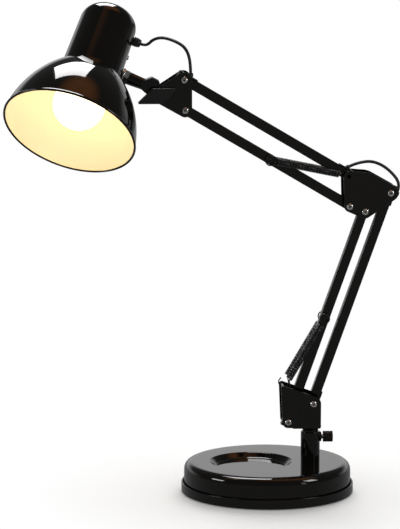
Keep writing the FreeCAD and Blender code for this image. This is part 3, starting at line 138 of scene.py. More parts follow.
def flex(name, points, radius, sides=16, smooth=True, fineness=12):
    """A round wire or cord along a curve through or near the points, as a closed mesh tube."""
    data = bpy.data.curves.new(name, "CURVE")
    data.dimensions = "3D"
    data.bevel_depth = radius
    data.bevel_resolution = sides // 4 - 1 if radius else 0
    data.use_fill_caps = True
    spline = data.splines.new("NURBS" if smooth else "POLY")
    spline.points.add(len(points) - 1)
    for control, point in zip(spline.points, points):
        control.co = (*point, 1.0)
    if smooth:
        spline.order_u = 3
        spline.use_endpoint_u = True
    data.resolution_u = fineness
    carrier = bpy.data.objects.new(name, data)
    scene.collection.objects.link(carrier)
    depsgraph = bpy.context.evaluated_depsgraph_get()
    mesh = bpy.data.meshes.new_from_object(carrier.evaluated_get(depsgraph), depsgraph=depsgraph)
    bpy.data.objects.remove(carrier)
    return mesh


def stretches(route, count):
    """The smooth line of a cord's route, cut into stretches of equal length."""
    line = [vert.co.copy() for vert in flex("route", route, 0.0).vertices]
    reach = [0.0]
    for point, following in zip(line, line[1:]):
        reach.append(reach[-1] + (following - point).length)
    cuts = [min(range(len(line)), key=lambda index: abs(reach[index] - reach[-1] * part / count))
            for part in range(count + 1)]
    return [line[first:last + 1] for first, last in zip(cuts, cuts[1:])]


sheath = surface("cord_sheath", (0.012, 0.012, 0.013), 0.42, grain=900.0, relief=0.08)

head_route = [
    (-0.1371, 0.0275, 0.4811), (-0.1321, 0.0275, 0.4791), (-0.1265, 0.0265, 0.4793),
    (-0.1210, 0.0240, 0.4850), (-0.1120, 0.0190, 0.4876), (-0.1009, 0.0130, 0.4850),
    (-0.0894, 0.0060, 0.4792), (-0.0839, 0.0020, 0.4697), (-0.0822, 0.0, 0.4550),
    (-0.0822, 0.0, 0.4420),
]
elbow_route = [
    (0.0861, 0.0, 0.3510), (0.0906, 0.0, 0.3533), (0.1004, 0.0, 0.3559), (0.1096, 0.0, 0.3566),
    (0.1191, 0.0, 0.3536), (0.1274, 0.0, 0.3482), (0.1342, 0.0, 0.3415), (0.1386, 0.0, 0.3354),
    (0.1397, 0.0, 0.3286), (0.1380, 0.0, 0.3237),
]
cord_runs = [
    ("head_cord", head_route, ["head", "stem", "head_bracket", "upper_link"]),
    ("elbow_cord", elbow_route, ["upper_link", "elbow", "lower_link"]),
]
for cord_name, cord_route, carriers in cord_runs:
    cord_parts = stretches(cord_route, len(carriers) - 1)
    for number, (line, before, after) in enumerate(zip(cord_parts, carriers, carriers[1:]), start=1):
        tube = flex(f"{cord_name}_{number}", line, cord_diameter / 2, smooth=False)
        stretch_piece = show(f"{cord_name}_stretch_{number}", tube, "cord_sheath", sheath)
        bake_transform(stretch_piece)
        if number == 1:
            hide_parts(cord_name)


# Base. A pressed steel shell with a shallow dish, in thick gloss black enamel, stands in a turned
# tray on a thin foam pad. Four countersunk screws hold the tray to the iron weight inside.

pad_radius, pad_thick = 0.084, 0.0008
tray_radius, tray_top, tray_wall = 0.0925, 0.0108, 0.0014
shell_radius, shell_top, shell_round, shell_wall = 0.0896, 0.0328, 0.0082, 0.0012
dish_x, dish_radius, dish_floor_radius, dish_depth = -0.0175, 0.0442, 0.0385, 0.0056
screw_circle, screw_head, screw_shank, screw_sink, screw_length = 0.062, 0.0034, 0.0017, 0.0012, 0.011
round_steps = 128


def bevelled(bm, geom, offset, segments, affect="EDGES", clamp=False):
    bmesh.ops.bevel(
        bm, geom=geom, offset=offset, offset_type="OFFSET", affect=affect, segments=segments,
        profile=0.5, material=-1, clamp_overlap=clamp,
    )
    return bm


def turned(corners, steps=64, closed=False):
    """A round piece about Z, spun from an outline of (radius, height) corners. A third number is the
    setback of the round on that corner."""
    bm = bmesh.new()
    verts = [bm.verts.new((corner[0], 0.0, corner[1])) for corner in corners]
    for pair in zip(verts, verts[1:] + (verts[:1] if closed else [])):
        bm.edges.new(pair)
    for vert, corner in zip(verts, corners):
        if len(corner) > 2:
            bevelled(bm, [vert], corner[2], 6, "VERTICES")
    bmesh.ops.spin(
        bm, geom=bm.verts[:] + bm.edges[:], cent=(0, 0, 0), axis=(0, 0, 1), angle=math.tau,
        steps=steps, use_merge=True,
    )
    return tidied(bm)


def rod(radius, low, high, steps=48, low_round=0.0, high_round=0.0):
    """A plain round piece about Z between two heights."""
    corners = [(0, low), (radius, low), (radius, high), (0, high)]
    for index, amount in ((1, low_round), (2, high_round)):
        if amount:
            corners[index] += (amount,)
    return turned(corners, steps)


def tidied(bm):
    bmesh.ops.remove_doubles(bm, verts=bm.verts[:], dist=1e-6)
    bmesh.ops.recalc_face_normals(bm, faces=bm.faces[:])
    return bm


def moved(bm, *places):
    """The same mesh copied to each place, in one mesh."""
    mesh = to_mesh("copy", bm)
    made = bmesh.new()
    for place in places:
        mesh.transform(place)
        made.from_mesh(mesh)
        mesh.transform(place.inverted())
    bpy.data.meshes.remove(mesh)
    return made


def to_mesh(name, bm):
    mesh = bpy.data.meshes.new(name)
    bm.to_mesh(mesh)
    bm.free()
    return mesh


def at(x=0.0, y=0.0, z=0.0):
    return Matrix.Translation((x, y, z))


def turn(degrees, axis):
    return Matrix.Rotation(math.radians(degrees), 4, axis)


def together(*parts):
    """Several closed shapes as one mesh."""
    made = bmesh.new()
    for bm in parts:
        mesh = to_mesh("part", bm)
        made.from_mesh(mesh)
        bpy.data.meshes.remove(mesh)
    return made


def carve(blank, tool, operation="DIFFERENCE"):
    """Cuts the tool's shape out of the blank, or welds it on."""
    pair = []
    for bm in (blank, tool):
        holder = bpy.data.objects.new("carving", to_mesh("carving", bm))
        scene.collection.objects.link(holder)
        pair.append(holder)
    cutter = pair[0].modifiers.new("cutter", "BOOLEAN")
    cutter.operation = operation
    cutter.solver = "EXACT"
    cutter.object = pair[1]
    depsgraph = bpy.context.evaluated_depsgraph_get()
    mesh = bpy.data.meshes.new_from_object(pair[0].evaluated_get(depsgraph), depsgraph=depsgraph)
    for holder in pair:
        bpy.data.objects.remove(holder)
    made = bmesh.new()
    made.from_mesh(mesh)
    return made


def weld(blank, *parts):
    for part in parts:
        blank = carve(blank, part, "UNION")
    return blank


def soften(bm, radius, steps=2, sharp=30.0):
    """Rounds every sharp edge of a closed shape."""
    edges = [
        edge for edge in bm.edges
        if edge.is_manifold and edge.calc_face_angle() > math.radians(sharp)
    ]
    return bevelled(bm, edges, radius, steps, clamp=True)


def piece(name, bm, body, slot, *finishes, stands_for=None, even=True, sharp=32.0):
    """A finished piece that rides on its body and stands for the node of its own name."""
    made = show(name + "_shape", to_mesh(name, bm), slot, *finishes, sharp=sharp)
    if even:
        made.modifiers.new("even_normals", "WEIGHTED_NORMAL").keep_sharp = True
    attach(made, body)
    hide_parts(*(stands_for or [name]))
    return made


def enamelled(name, bm, body, even=True):
    return piece(name, bm, body, "black_enamel", enamel, even=even)


def repaint(finish, *names):
    """Gives nodes of the frame that stay as they are a finish."""
    for name in names:
        node = frame["nodes"][name]
        if not node.material_slots:
            node.data.materials.append(finish)
        for slot in node.material_slots:
            slot.material = finish


def cross_recess(depth, reach, thickness):
    """The cutter for a cross recess in a screw head, pointing down from z = 0."""
    bars = []
    for degrees in (0, 90):
        bar = bmesh.new()
        bmesh.ops.create_cube(bar, size=1.0)
        bmesh.ops.scale(bar, vec=(reach * 2, thickness, depth * 2), verts=bar.verts[:])
        lower = [vert for vert in bar.verts if vert.co.z < 0]
        bmesh.ops.scale(bar, vec=(0.45, 0.6, 1.0), verts=lower)
        bmesh.ops.rotate(bar, verts=bar.verts[:], matrix=turn(degrees, "Z").to_3x3())
        bars.append(bar)
    return carve(*bars, "UNION")


enamel = surface("black_enamel", (0.0032, 0.0027, 0.0021), 0.055, ior=1.40, grain=420.0, relief=0.012)
zinc = surface("zinc_steel", (0.50, 0.50, 0.49), 0.34, metallic=1.0, grain=1500.0, mottle=0.2, relief=0.15)
iron = surface("cast_iron", (0.07, 0.068, 0.066), 0.72, metallic=0.6, grain=700.0, mottle=0.35, relief=0.5)
foam = surface("foam_pad", (0.022, 0.022, 0.022), 0.85, grain=1100.0, mottle=0.2, relief=0.4)

quarters = [math.radians(90 * quarter) for quarter in range(4)]
screw_places = [
    at(screw_circle * math.cos(angle), screw_circle * math.sin(angle), pad_thick) for angle in quarters
]

piece("base_pad", rod(pad_radius, 0, pad_thick, round_steps, 0.0002), "base", "foam_pad", foam)

tray = turned([
    (0, pad_thick), (tray_radius, pad_thick, 0.0007), (tray_radius, tray_top, 0.0004),
    (tray_radius - tray_wall, tray_top, 0.0004), (tray_radius - tray_wall, pad_thick + tray_wall, 0.0005),
    (0, pad_thick + tray_wall),
], round_steps)
sink_cutter = turned([
    (0, -0.001), (screw_head + 0.001, -0.001), (screw_shank, screw_sink), (screw_shank, 0.004), (0, 0.004),
], 32)
tray = carve(tray, moved(sink_cutter, *screw_places))
enamelled("base_tray", tray, "base")

screw_blank = turned([
    (0, 0), (screw_head, 0), (screw_shank, screw_sink), (screw_shank, screw_length), (0, screw_length),
], 32)
screw_cross = moved(cross_recess(0.0009, 0.0018, 0.0006), turn(180, "X"))
screw = carve(screw_blank, screw_cross)
piece("tray_screws", moved(screw, *screw_places), "base", "zinc_steel", zinc)
repaint(iron, "base_weight")

shell = turned([
    (shell_radius, pad_thick + tray_wall), (shell_radius, shell_top, shell_round),
    (shell_radius - shell_round - 0.003, shell_top),
], round_steps)
dish_lip = dish_radius + 0.0025
dish = turned([
    (dish_lip, shell_top), (dish_radius, shell_top, 0.0007),
    (dish_floor_radius, shell_top - dish_depth, 0.0018), (0, shell_top - dish_depth),
], round_steps)
shell = together(shell, moved(dish, at(dish_x)))
rims = [
    edge for edge in shell.edges
    if edge.is_boundary and edge.verts[0].co.z > shell_top - 1e-5 and edge.verts[1].co.z > shell_top - 1e-5
]
bmesh.ops.bridge_loops(shell, edges=rims)
bmesh.ops.recalc_face_normals(shell, faces=shell.faces[:])
if max(shell.faces, key=lambda face: face.calc_area()).normal.z < 0:
    bmesh.ops.reverse_faces(shell, faces=shell.faces[:])
base_shell = piece("base_shell", shell, "base", "black_enamel", enamel, even=False)
sheet_metal = base_shell.modifiers.new("wall", "SOLIDIFY")
sheet_metal.thickness = shell_wall
sheet_metal.offset = -1.0
base_shell.modifiers.new("even_normals", "WEIGHTED_NORMAL").keep_sharp = True


# Post. A steel tube on a stud, drawn down by a nut under the weight, with a small boss for the
# clamp screw. A fluted knob on the screw holds the swivelling spigot of the shoulder bracket.

joint_at = {joint["name"]: Vector(joint["pos_m"]) for joint in frame["joints"]}
post_x, clamp_height = joint_at["swivel"].x, joint_at["clamp_turn"].z
post_radius, post_bore, post_floor, post_top = 0.0103, 0.0085, 0.036, 0.065
stud_radius, stud_foot = 0.006, 0.0034
clamp_radius = 0.0025
boss_radius, boss_end = 0.0053, 0.0118
knob_radius, knob_start, knob_length, knob_flutes, flute_depth = 0.0058, 0.0143, 0.0092, 24, 0.00045
knob_edge, knob_rim, knob_dish = 0.0007, 0.0012, 0.0005
spigot_radius, collar_radius, collar_foot, bracket_floor = 0.00844, 0.012, 0.066, 0.0705
rivet_radius, rivet_height, plate_thick = 0.004, 0.0016, 0.0012
run_gap, loose_gap = 0.00005, 0.0001

post = turned([
    (0, stud_foot), (stud_radius, stud_foot, 0.0006), (stud_radius, shell_top - 0.0002),
    (post_radius, shell_top - 0.0002), (post_radius, post_top, 0.0006), (post_bore, post_top, 0.0003),
    (post_bore, post_floor), (0, post_floor),
], 72)
enamelled("post_tube", moved(post, at(post_x)), "base")
boss = turned([
    (clamp_radius + run_gap, post_bore + 0.0004), (boss_radius, post_bore + 0.0004),
    (boss_radius, boss_end, 0.0008), (clamp_radius + run_gap, boss_end, 0.0002),
], 48, closed=True)
along_x = turn(90, "Y")
clamp_place = at(post_x, 0, clamp_height) @ along_x
enamelled("post_boss", moved(boss, clamp_place), "base")
repaint(zinc, "post_washer", "post_nut")

clamp_screw = rod(clamp_radius, spigot_radius + run_gap, knob_start + knob_length / 2, 32, 0.0004)
piece("clamp_screw", moved(clamp_screw, clamp_place), "clamp", "zinc_steel", zinc)

moulded = surface("black_plastic", (0.007, 0.0065, 0.006), 0.27, grain=1300.0, mottle=0.2, relief=0.12)
knob = bmesh.new()
bmesh.ops.create_circle(knob, cap_ends=True, segments=knob_flutes * 4, radius=knob_radius)
for index, vert in enumerate(list(knob.verts)):
    if index % 4 == 0:
        vert.co *= 1.0 - flute_depth / knob_radius
top = bmesh.ops.extrude_face_region(knob, geom=knob.faces[:])
top_verts = [part for part in top["geom"] if isinstance(part, bmesh.types.BMVert)]
bmesh.ops.translate(knob, vec=(0, 0, knob_length), verts=top_verts)
bmesh.ops.recalc_face_normals(knob, faces=knob.faces[:])
ends = [face for face in knob.faces if len(face.verts) > 4]
bevelled(knob, [edge for face in ends for edge in face.edges], knob_edge, 3)
ends = [face for face in knob.faces if len(face.verts) > 20]
for face in ends:
    bmesh.ops.inset_region(knob, faces=[face], thickness=knob_rim, depth=0.0)
    bmesh.ops.inset_region(knob, faces=[face], thickness=knob_rim / 2, depth=-knob_dish)
knob = moved(knob, at(post_x + knob_start, 0, clamp_height) @ along_x)
piece("clamp_knob", knob, "clamp", "black_plastic", moulded)


def bow(start, finish, radius, count=10):
    """Points along the arc from start to finish. A radius above 0 turns left on the way, below 0 right."""
    start, finish = Vector(start), Vector(finish)
    half = (finish - start) / 2
    side = Vector((-half.y, half.x)).normalized() * math.copysign(1.0, radius)
    centre = start + half + side * math.sqrt(radius ** 2 - half.length ** 2)
    first = math.atan2(start.y - centre.y, start.x - centre.x)
    last = math.atan2(finish.y - centre.y, finish.x - centre.x)
    sweep = (last - first + math.pi) % math.tau - math.pi
    return [
        (centre.x + abs(radius) * math.cos(first + sweep * step / count),
         centre.y + abs(radius) * math.sin(first + sweep * step / count))
        for step in range(count + 1)
    ]


collar_width, collar_height = collar_radius - spigot_radius, bracket_floor - collar_foot
collar_bow = (collar_width ** 2 + collar_height ** 2) / collar_width / 2
rivet_foot = bracket_floor + plate_thick
spigot = turned([
    (0, post_floor + run_gap), (spigot_radius, post_floor + run_gap, 0.0005),
    *bow((spigot_radius, collar_foot), (collar_radius, bracket_floor), -collar_bow),
    (rivet_radius, bracket_floor), (rivet_radius, rivet_foot),
    (rivet_radius + rivet_height, rivet_foot, 0.0003), (rivet_radius, rivet_foot + rivet_height, 0.0008),
    (0, rivet_foot + rivet_height),
], 64)
enamelled("swivel_spigot", moved(spigot, at(post_x)), "shoulder")


# Shoulder bracket. One steel pressing with two cheeks and a floor, enamelled black. Plated screws
# with cross recesses carry the two lower tubes, and a dark pin at its corner anchors the springs.

pivot_g, pivot_h, pivot_c = joint_at["lower_lift"], joint_at["lower_arm_lift"], joint_at["elbow_level"]
pivot_f, pivot_a, pivot_d = joint_at["upper_lift"], joint_at["upper_arm_lift"], joint_at["head_level"]
pivot_b = pivot_h + pivot_c - pivot_g
pivot_e = pivot_a + pivot_d - pivot_f
pivot_t, head_middle = joint_at["head_tilt"], joint_at["head_turn"]

plate_inner = 0.0142
plate_outer = plate_inner + plate_thick
anchor = Vector((post_x - 0.0300, 0, 0.1143))
anchor_radius = 0.0015
bolt_radius, bolt_head, bolt_head_height = 0.002, 0.004, 0.0024
recess_depth, recess_reach, recess_width = 0.0015, 0.62, 0.30
nut_across, nut_height, bolt_tail = 0.007, 0.0032, 0.0006
spacer_radius, tube_half = 0.0035, 0.0052
across = turn(-90, "X")
outward_near = turn(90, "X")


def flattened(bm):
    """The same shape without the seams across its flat faces."""
    bmesh.ops.dissolve_limit(bm, angle_limit=math.radians(1.0), verts=bm.verts[:], edges=bm.edges[:])
    return bm


def laid(bm, pivot):
    """A turned piece laid along Y through a pivot."""
    return moved(bm, Matrix.Translation(pivot) @ across)


def plate(rounds, thick, far_side, rounding=0.0003):
    """A flat plate round some (x, z, radius) circles, between far_side and far_side - thick along Y."""
    bm = bmesh.new()
    for x, z, radius in rounds:
        bmesh.ops.create_cone(
            bm, segments=56, radius1=radius, radius2=radius, depth=thick,
            matrix=at(x, far_side - thick / 2, z) @ across,
        )
    skin = bmesh.ops.convex_hull(bm, input=bm.verts[:])
    inside = [part for part in skin["geom_interior"] if isinstance(part, bmesh.types.BMVert)]
    bmesh.ops.delete(bm, geom=inside, context="VERTS")
    bmesh.ops.recalc_face_normals(flattened(bm), faces=bm.faces[:])
    return soften(bm, rounding) if rounding else bm


def block(low, high, rounding=0.0):
    """A box between two corners, with its edges rounded."""
    bm = bmesh.new()
    low, high = Vector(low), Vector(high)
    bmesh.ops.create_cube(bm, size=1.0)
    bmesh.ops.scale(bm, vec=high - low, verts=bm.verts[:])
    bmesh.ops.translate(bm, vec=(low + high) / 2, verts=bm.verts[:])
    return soften(bm, rounding) if rounding else bm


corner_x, corner_round = post_x + 0.0085, 0.0015
shoulder_rounds = [
    (corner_x, bracket_floor + corner_round, corner_round), (pivot_g.x, pivot_g.z, 0.0082),
    (anchor.x, anchor.z, 0.0030), (pivot_h.x, pivot_h.z, 0.0062),
]
floor_reach, floor_side = 0.020, plate_outer - 0.0002
bracket = weld(
    block((post_x - floor_reach, -floor_side, bracket_floor), (corner_x, floor_side, rivet_foot)),
    plate(shoulder_rounds, plate_thick, -plate_inner, 0.0),
    plate(shoulder_rounds, plate_thick, plate_outer, 0.0),
)
enamelled("shoulder_bracket", soften(flattened(bracket), 0.0003), "shoulder")

bright = surface("bright_steel", (0.66, 0.65, 0.63), 0.16, metallic=1.0, grain=1800.0, relief=0.06)
# Plain black for the spacers; the same finish is the painted shade in the screws' cross recesses.
spacer_black_and_recess_shade = surface("black_spacer", (0.02, 0.02, 0.021), 0.40, grain=1200.0, relief=0.1)

anchor_reach = plate_outer + plate_thick
anchor_pin = rod(anchor_radius, -anchor_reach, anchor_reach, 32, 0.0004, 0.0004)
enamelled("spring_anchor_pin", laid(anchor_pin, anchor), "shoulder")


def bolt_blank(radius, head_radius):
    """A pan-head screw that points down from z = 0, with its head above, and painted shade in its cross
    recess.
    """
    tail = plate_outer * 2 + nut_height + bolt_tail
    blank = turned([
        (0, bolt_head_height), (head_radius - bolt_head_height / 3, bolt_head_height, 0.0009),
        (head_radius, 0, 0.0003), (radius, 0), (radius, -tail, 0.0004), (0, -tail),
    ], 48)
    recess = cross_recess(recess_depth, head_radius * recess_reach, head_radius * recess_width)
    recess = moved(recess, at(0, 0, bolt_head_height))
    cut = carve(blank, recess)
    # The faces deep in the cross recess, near its middle, take the second finish, black: painted shade.
    for face in cut.faces:
        middle = face.calc_center_median()
        painted_shade_depth = 0 < middle.z < bolt_head_height - 0.00005
        face.material_index = int(painted_shade_depth and math.hypot(middle.x, middle.y) < head_radius * 0.6)
    return cut


def hex_nut(across_flats, bore, height):
    """A hexagon nut from z = 0 up, with chamfered corners."""
    nut, corner_reach = bmesh.new(), across_flats / math.sqrt(3)
    bmesh.ops.create_cone(
        nut, cap_ends=True, segments=6, radius1=corner_reach, radius2=corner_reach, depth=height,
        matrix=at(0, 0, height / 2),
    )
    chamfer = turned([
        (0, 0), (across_flats / 2, 0), (across_flats / 2 + height * 0.3, height * 0.16),
        (across_flats / 2 + height * 0.3, height * 0.84), (across_flats / 2, height), (0, height),
    ], 48)
    return carve(carve(nut, chamfer, "INTERSECT"), rod(bore, -height, height * 2, 32))


def pivot_hardware(prefix, pivots, spacer_radii, body, screwed=4):
    """Screws, nuts and spacers of one bracket. Each pivot is (place, how far its cross is turned).
    Pivots past the first few that are screwed get spacers alone."""
    blank = to_mesh("bolt", bolt_blank(bolt_radius, bolt_head))
    bolts, nuts, spacers = bmesh.new(), bmesh.new(), bmesh.new()
    nut_mesh = to_mesh("nut", hex_nut(nut_across, bolt_radius + run_gap, nut_height))
    for number, ((pivot, degrees), radius) in enumerate(zip(pivots, spacer_radii)):
        here = Matrix.Translation(pivot)
        screwed_on = (
            (bolts, blank, here @ at(0, -plate_outer, 0) @ outward_near @ turn(degrees, "Z")),
            (nuts, nut_mesh, here @ at(0, plate_outer, 0) @ across @ turn(degrees * 2, "Z")),
        ) if number < screwed else ()
        for bm, mesh, place in screwed_on:
            mesh.transform(place)
            bm.from_mesh(mesh)
            mesh.transform(place.inverted())
        start, length = tube_half + loose_gap, plate_inner - tube_half - loose_gap * 2
        for y in (start, -start - length):
            sleeve = turned([
                (bolt_radius + run_gap, 0), (radius, 0, 0.0002), (radius, length, 0.0002),
                (bolt_radius + run_gap, length),
            ], 32, closed=True)
            mesh = to_mesh("sleeve", moved(sleeve, here @ at(0, y, 0) @ across))
            spacers.from_mesh(mesh)
            bpy.data.meshes.remove(mesh)
    # The bolts' second finish is the painted shade in their cross recesses.
    piece(f"{prefix}_bolts", bolts, body, "bright_steel", bright, spacer_black_and_recess_shade)
    piece(f"{prefix}_nuts", nuts, body, "zinc_steel", zinc)
    piece(f"{prefix}_spacers", spacers, body, "black_spacer", spacer_black_and_recess_shade)


pivot_hardware("shoulder", [(pivot_h, 20), (pivot_g, 65)], [spacer_radius] * 2, "shoulder")


# Arms. Four square steel tubes with rounded corners, enamelled black. Moulded guides close the
# ends of the two outer tubes and take the cord in and out. Headed pins carry the spring hooks.

tube_side, tube_wall, tube_overrun, tube_corner = 0.0104, 0.0008, 0.0065, 0.0012
lower_length = (pivot_c - pivot_g).length
upper_length = (pivot_d - pivot_f).length
pin_half, pin_radius, pin_head, pin_head_thick = 0.0124, 0.002, 0.0029, 0.0011
guide_reach, guide_thick, guide_cap, port_radius, port_bore = 0.014, 0.0013, 0.0015, 0.0027, 0.0018
port_length, port_floor = guide_thick + port_radius, 0.0022
port_lift = 28.0


def between(foot, head):
    """The place of a piece made along +Z, moved to foot and leaned over towards head."""
    way = head - foot
    return Matrix.Translation(foot) @ Matrix.Rotation(math.atan2(way.x, way.z), 4, "Y")


def square_tube(length):
    bm = bmesh.new()
    half = tube_side / 2
    spots = ((half, half, 0), (-half, half, 0), (-half, -half, 0), (half, -half, 0))
    ring = [bm.verts.new(spot) for spot in spots]
    for pair in zip(ring, ring[1:] + ring[:1]):
        bm.edges.new(pair)
    bevelled(bm, ring, tube_corner, 5, "VERTICES")
    bmesh.ops.translate(bm, vec=(0, 0, -tube_overrun), verts=bm.verts[:])
    wall = bmesh.ops.extrude_edge_only(bm, edges=bm.edges[:])
    top_ring = [part for part in wall["geom"] if isinstance(part, bmesh.types.BMVert)]
    bmesh.ops.translate(bm, vec=(0, 0, length + tube_overrun * 2), verts=top_ring)
    bmesh.ops.recalc_face_normals(bm, faces=bm.faces[:])
    side = max(bm.faces, key=lambda face: face.calc_area())
    if side.normal.dot(side.calc_center_median() - Vector((0, 0, side.calc_center_median().z))) < 0:
        bmesh.ops.reverse_faces(bm, faces=bm.faces[:])
    return bm


def tube_piece(name, foot, head, body):
    made = enamelled(name, moved(square_tube((head - foot).length), between(foot, head)), body, even=False)
    wall = made.modifiers.new("wall", "SOLIDIFY")
    wall.thickness = tube_wall
    wall.offset = -1.0
    made.modifiers.new("even_normals", "WEIGHTED_NORMAL").keep_sharp = True


tube_piece("lower_arm_tube", pivot_h, pivot_b, "lower_arm")
tube_piece("lower_link_tube", pivot_g, pivot_c, "lower_link")
tube_piece("upper_arm_tube", pivot_a, pivot_e, "upper_arm")
tube_piece("upper_link_tube", pivot_f, pivot_d, "upper_link")

lower_pin_reach, upper_pin_reach, upper_pin_rise = 0.1204, 0.0995, 0.0015
lower_pin = pivot_h + (pivot_b - pivot_h).normalized() * lower_pin_reach
upper_way = (pivot_e - pivot_a).normalized()
upper_pin = pivot_a + upper_way * upper_pin_reach + Vector((-upper_way.z, 0, upper_way.x)) * upper_pin_rise


def spring_pin(name, centre, body):
    pin = turned([
        (0, -pin_half), (pin_head, -pin_half, 0.0004), (pin_head, -pin_half + pin_head_thick, 0.0002),
        (pin_radius, -pin_half + pin_head_thick), (pin_radius, pin_half - pin_head_thick),
        (pin_head, pin_half - pin_head_thick, 0.0002), (pin_head, pin_half, 0.0004), (0, pin_half),
    ], 40)
    enamelled(name, laid(pin, centre), body)


spring_pin("lower_spring_pin", lower_pin, "lower_arm")
spring_pin("upper_spring_pin", upper_pin, "upper_arm")


def guide(name, foot, head, at_head, body, port=None):
    """A moulded guide on a tube's outer face and over its end. port places the collar the cord uses."""
    length = (head - foot).length
    half = tube_side / 2
    if at_head:
        low, high, cap_low = length - guide_reach, length + tube_overrun + guide_cap, length + tube_overrun
    else:
        low, high, cap_low = -tube_overrun - guide_cap, guide_reach, -tube_overrun - guide_cap
    shape = weld(
        block((half, -half, low), (half + guide_thick, half, high)),
        block((-half, -half, cap_low), (half + guide_thick / 2, half, cap_low + guide_cap)),
    )
    shape = soften(flattened(shape), 0.00045, 3)
    if port:
        collar = turned([
            (0, 0), (port_radius, 0), (port_radius, port_length, 0.0006), (port_bore, port_length, 0.0003),
            (port_bore, port_length - port_floor), (0, port_length - port_floor),
        ], 40)
        shape = together(shape, moved(collar, port))
    piece(name, moved(shape, between(foot, head)), body, "black_plastic", moulded)


rise_turn = math.degrees(math.atan2((pivot_d - pivot_f).x, (pivot_d - pivot_f).z))
link_top = tube_side / 2 + guide_thick
head_port = at(link_top - guide_thick / 2, 0, upper_length - port_radius * 2) @ turn(-rise_turn, "Y")
elbow_port = at(tube_side / 2, 0, port_radius * 2) @ turn(90 - rise_turn - port_lift, "Y")
side_port = at(link_top + port_radius - guide_thick / 2, 0, lower_length - port_radius / 2)
guide("upper_link_head_guide", pivot_f, pivot_d, True, "upper_link", head_port)
guide("upper_link_elbow_guide", pivot_f, pivot_d, False, "upper_link", elbow_port)
guide("lower_link_head_guide", pivot_g, pivot_c, True, "lower_link", side_port)
guide("lower_link_foot_guide", pivot_g, pivot_c, False, "lower_link")


# Springs. Two extension springs beside each arm, close wound from dark coated wire. Each end is
# turned out into a round hook that hangs on a pin, so the coil stretches as the arm goes down.

wire_radius, coil_radius, hook_radius = 0.0007, 0.0033, 0.0053
spring_side = 0.0099
turn_points = 12
coil_pitch = 0.00148

spring_wire = surface("spring_steel", (0.008, 0.008, 0.008), 0.30, grain=2400.0, mottle=0.2, relief=0.1)


def spring_line(length, first_pin, last_pin, first_hook, last_hook):
    """Control points of one spring's wire along +X, from the pin at 0 to the pin at length."""
    first_centre = first_hook - wire_radius - first_pin
    last_centre = length - (last_hook - wire_radius - last_pin)
    coil_start = first_centre + first_hook + coil_radius * 0.75
    coil_end = last_centre - last_hook - coil_radius * 0.75
    turns = round((coil_end - coil_start) / coil_pitch)
    points = []
    for degrees in range(60, 331, 30):
        angle = math.radians(degrees)
        points.append((first_centre + first_hook * math.cos(angle), 0, first_hook * math.sin(angle)))
    points.append((first_centre + first_hook + wire_radius, -coil_radius * 0.35, -coil_radius * 0.45))
    for step in range(turns * turn_points + turn_points // 2 + 1):
        angle = math.tau * step / turn_points + math.pi
        share = step / (turns * turn_points + turn_points // 2)
        along = coil_start + (coil_end - coil_start) * share
        points.append((along, coil_radius * math.cos(angle), coil_radius * math.sin(angle)))
    points.append((last_centre - last_hook - wire_radius, coil_radius * 0.35, coil_radius * 0.45))
    for degrees in range(150, -121, -30):
        angle = math.radians(degrees)
        points.append((last_centre + last_hook * math.cos(angle), 0, last_hook * math.sin(angle)))
    return [Vector(point) for point in points]


def spring_pair(prefix, foot, head, first_pin, last_pin, first_hook):
    way = head - foot
    lean = Matrix.Rotation(-math.atan2(way.z, way.x), 4, "Y")
    for side, offset in (("near", -spring_side), ("far", spring_side)):
        place = Matrix.Translation(foot + Vector((0, offset, 0))) @ lean
        line = spring_line(way.length, first_pin, last_pin, first_hook, hook_radius)
        line = [place @ point for point in line]
        name = f"{prefix}_{side}"
        wire = flex(name, line, wire_radius, sides=8, fineness=2)
        made = show(name + "_coil", wire, "spring_steel", spring_wire)
        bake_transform(made)
        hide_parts(name)


spring_pair("lower_spring", anchor, lower_pin, anchor_radius, pin_radius, 0.0055)
spring_pair("upper_spring", pivot_f, upper_pin, 0.0025, pin_radius, 0.0053)


# Elbow. Two enamelled steel plates with a humped top edge join the four tubes. Three pivots are
# plated screws with nuts on the far side, and the top one is a black rivet, flush on the near side.

def plate_pair(prefix, rounds, body):
    for side, far_side in (("near", -plate_inner), ("far", plate_outer)):
        enamelled(f"{prefix}_plate_{side}", plate(rounds, plate_thick, far_side), body)


elbow_rounds = [
    (pivot_b.x, pivot_b.z, 0.0073), (pivot_c.x, pivot_c.z, 0.0085),
    (pivot_b.x - 0.0005, pivot_b.z + 0.0206, 0.0213), (pivot_f.x, pivot_f.z, 0.0058),
    (pivot_a.x, pivot_a.z, 0.0059),
]
plate_pair("elbow", elbow_rounds, "elbow")
pivot_hardware(
    "elbow", [(pivot_a, 10), (pivot_b, 40), (pivot_c, 70), (pivot_f, 0)],
    [spacer_radius, spacer_radius, spacer_radius, 0.0025], "elbow", screwed=3,
)
rivet_end = plate_outer + bolt_head_height
rivet = turned([
    (0, -plate_outer), (bolt_radius, -plate_outer), (bolt_radius, plate_outer),
    (bolt_head, plate_outer, 0.0003), (bolt_head - bolt_head_height / 2, rivet_end, 0.0006), (0, rivet_end),
], 48)
enamelled("elbow_rivet", laid(rivet, pivot_f), "elbow")


# Head bracket. Two small enamelled plates close the upper parallelogram. A moulded wing on a
# long screw clamps the stem's knuckle between them, against a nut on the far side.

head_rounds = [
    (pivot_e.x, pivot_e.z, 0.0074), (pivot_d.x, pivot_d.z, 0.0084), (pivot_t.x, pivot_t.z, 0.0065),
]
plate_pair("head", head_rounds, "head_bracket")
pivot_hardware("head", [(pivot_d, 15), (pivot_e, 55)], [spacer_radius] * 2, "head_bracket")

tilt_radius = 0.0025
tilt_nut = hex_nut(nut_across + bolt_tail * 2, tilt_radius + run_gap, nut_height)
piece("tilt_nut", laid(tilt_nut, pivot_t + Vector((0, plate_outer, 0))), "head_bracket", "zinc_steel", zinc)

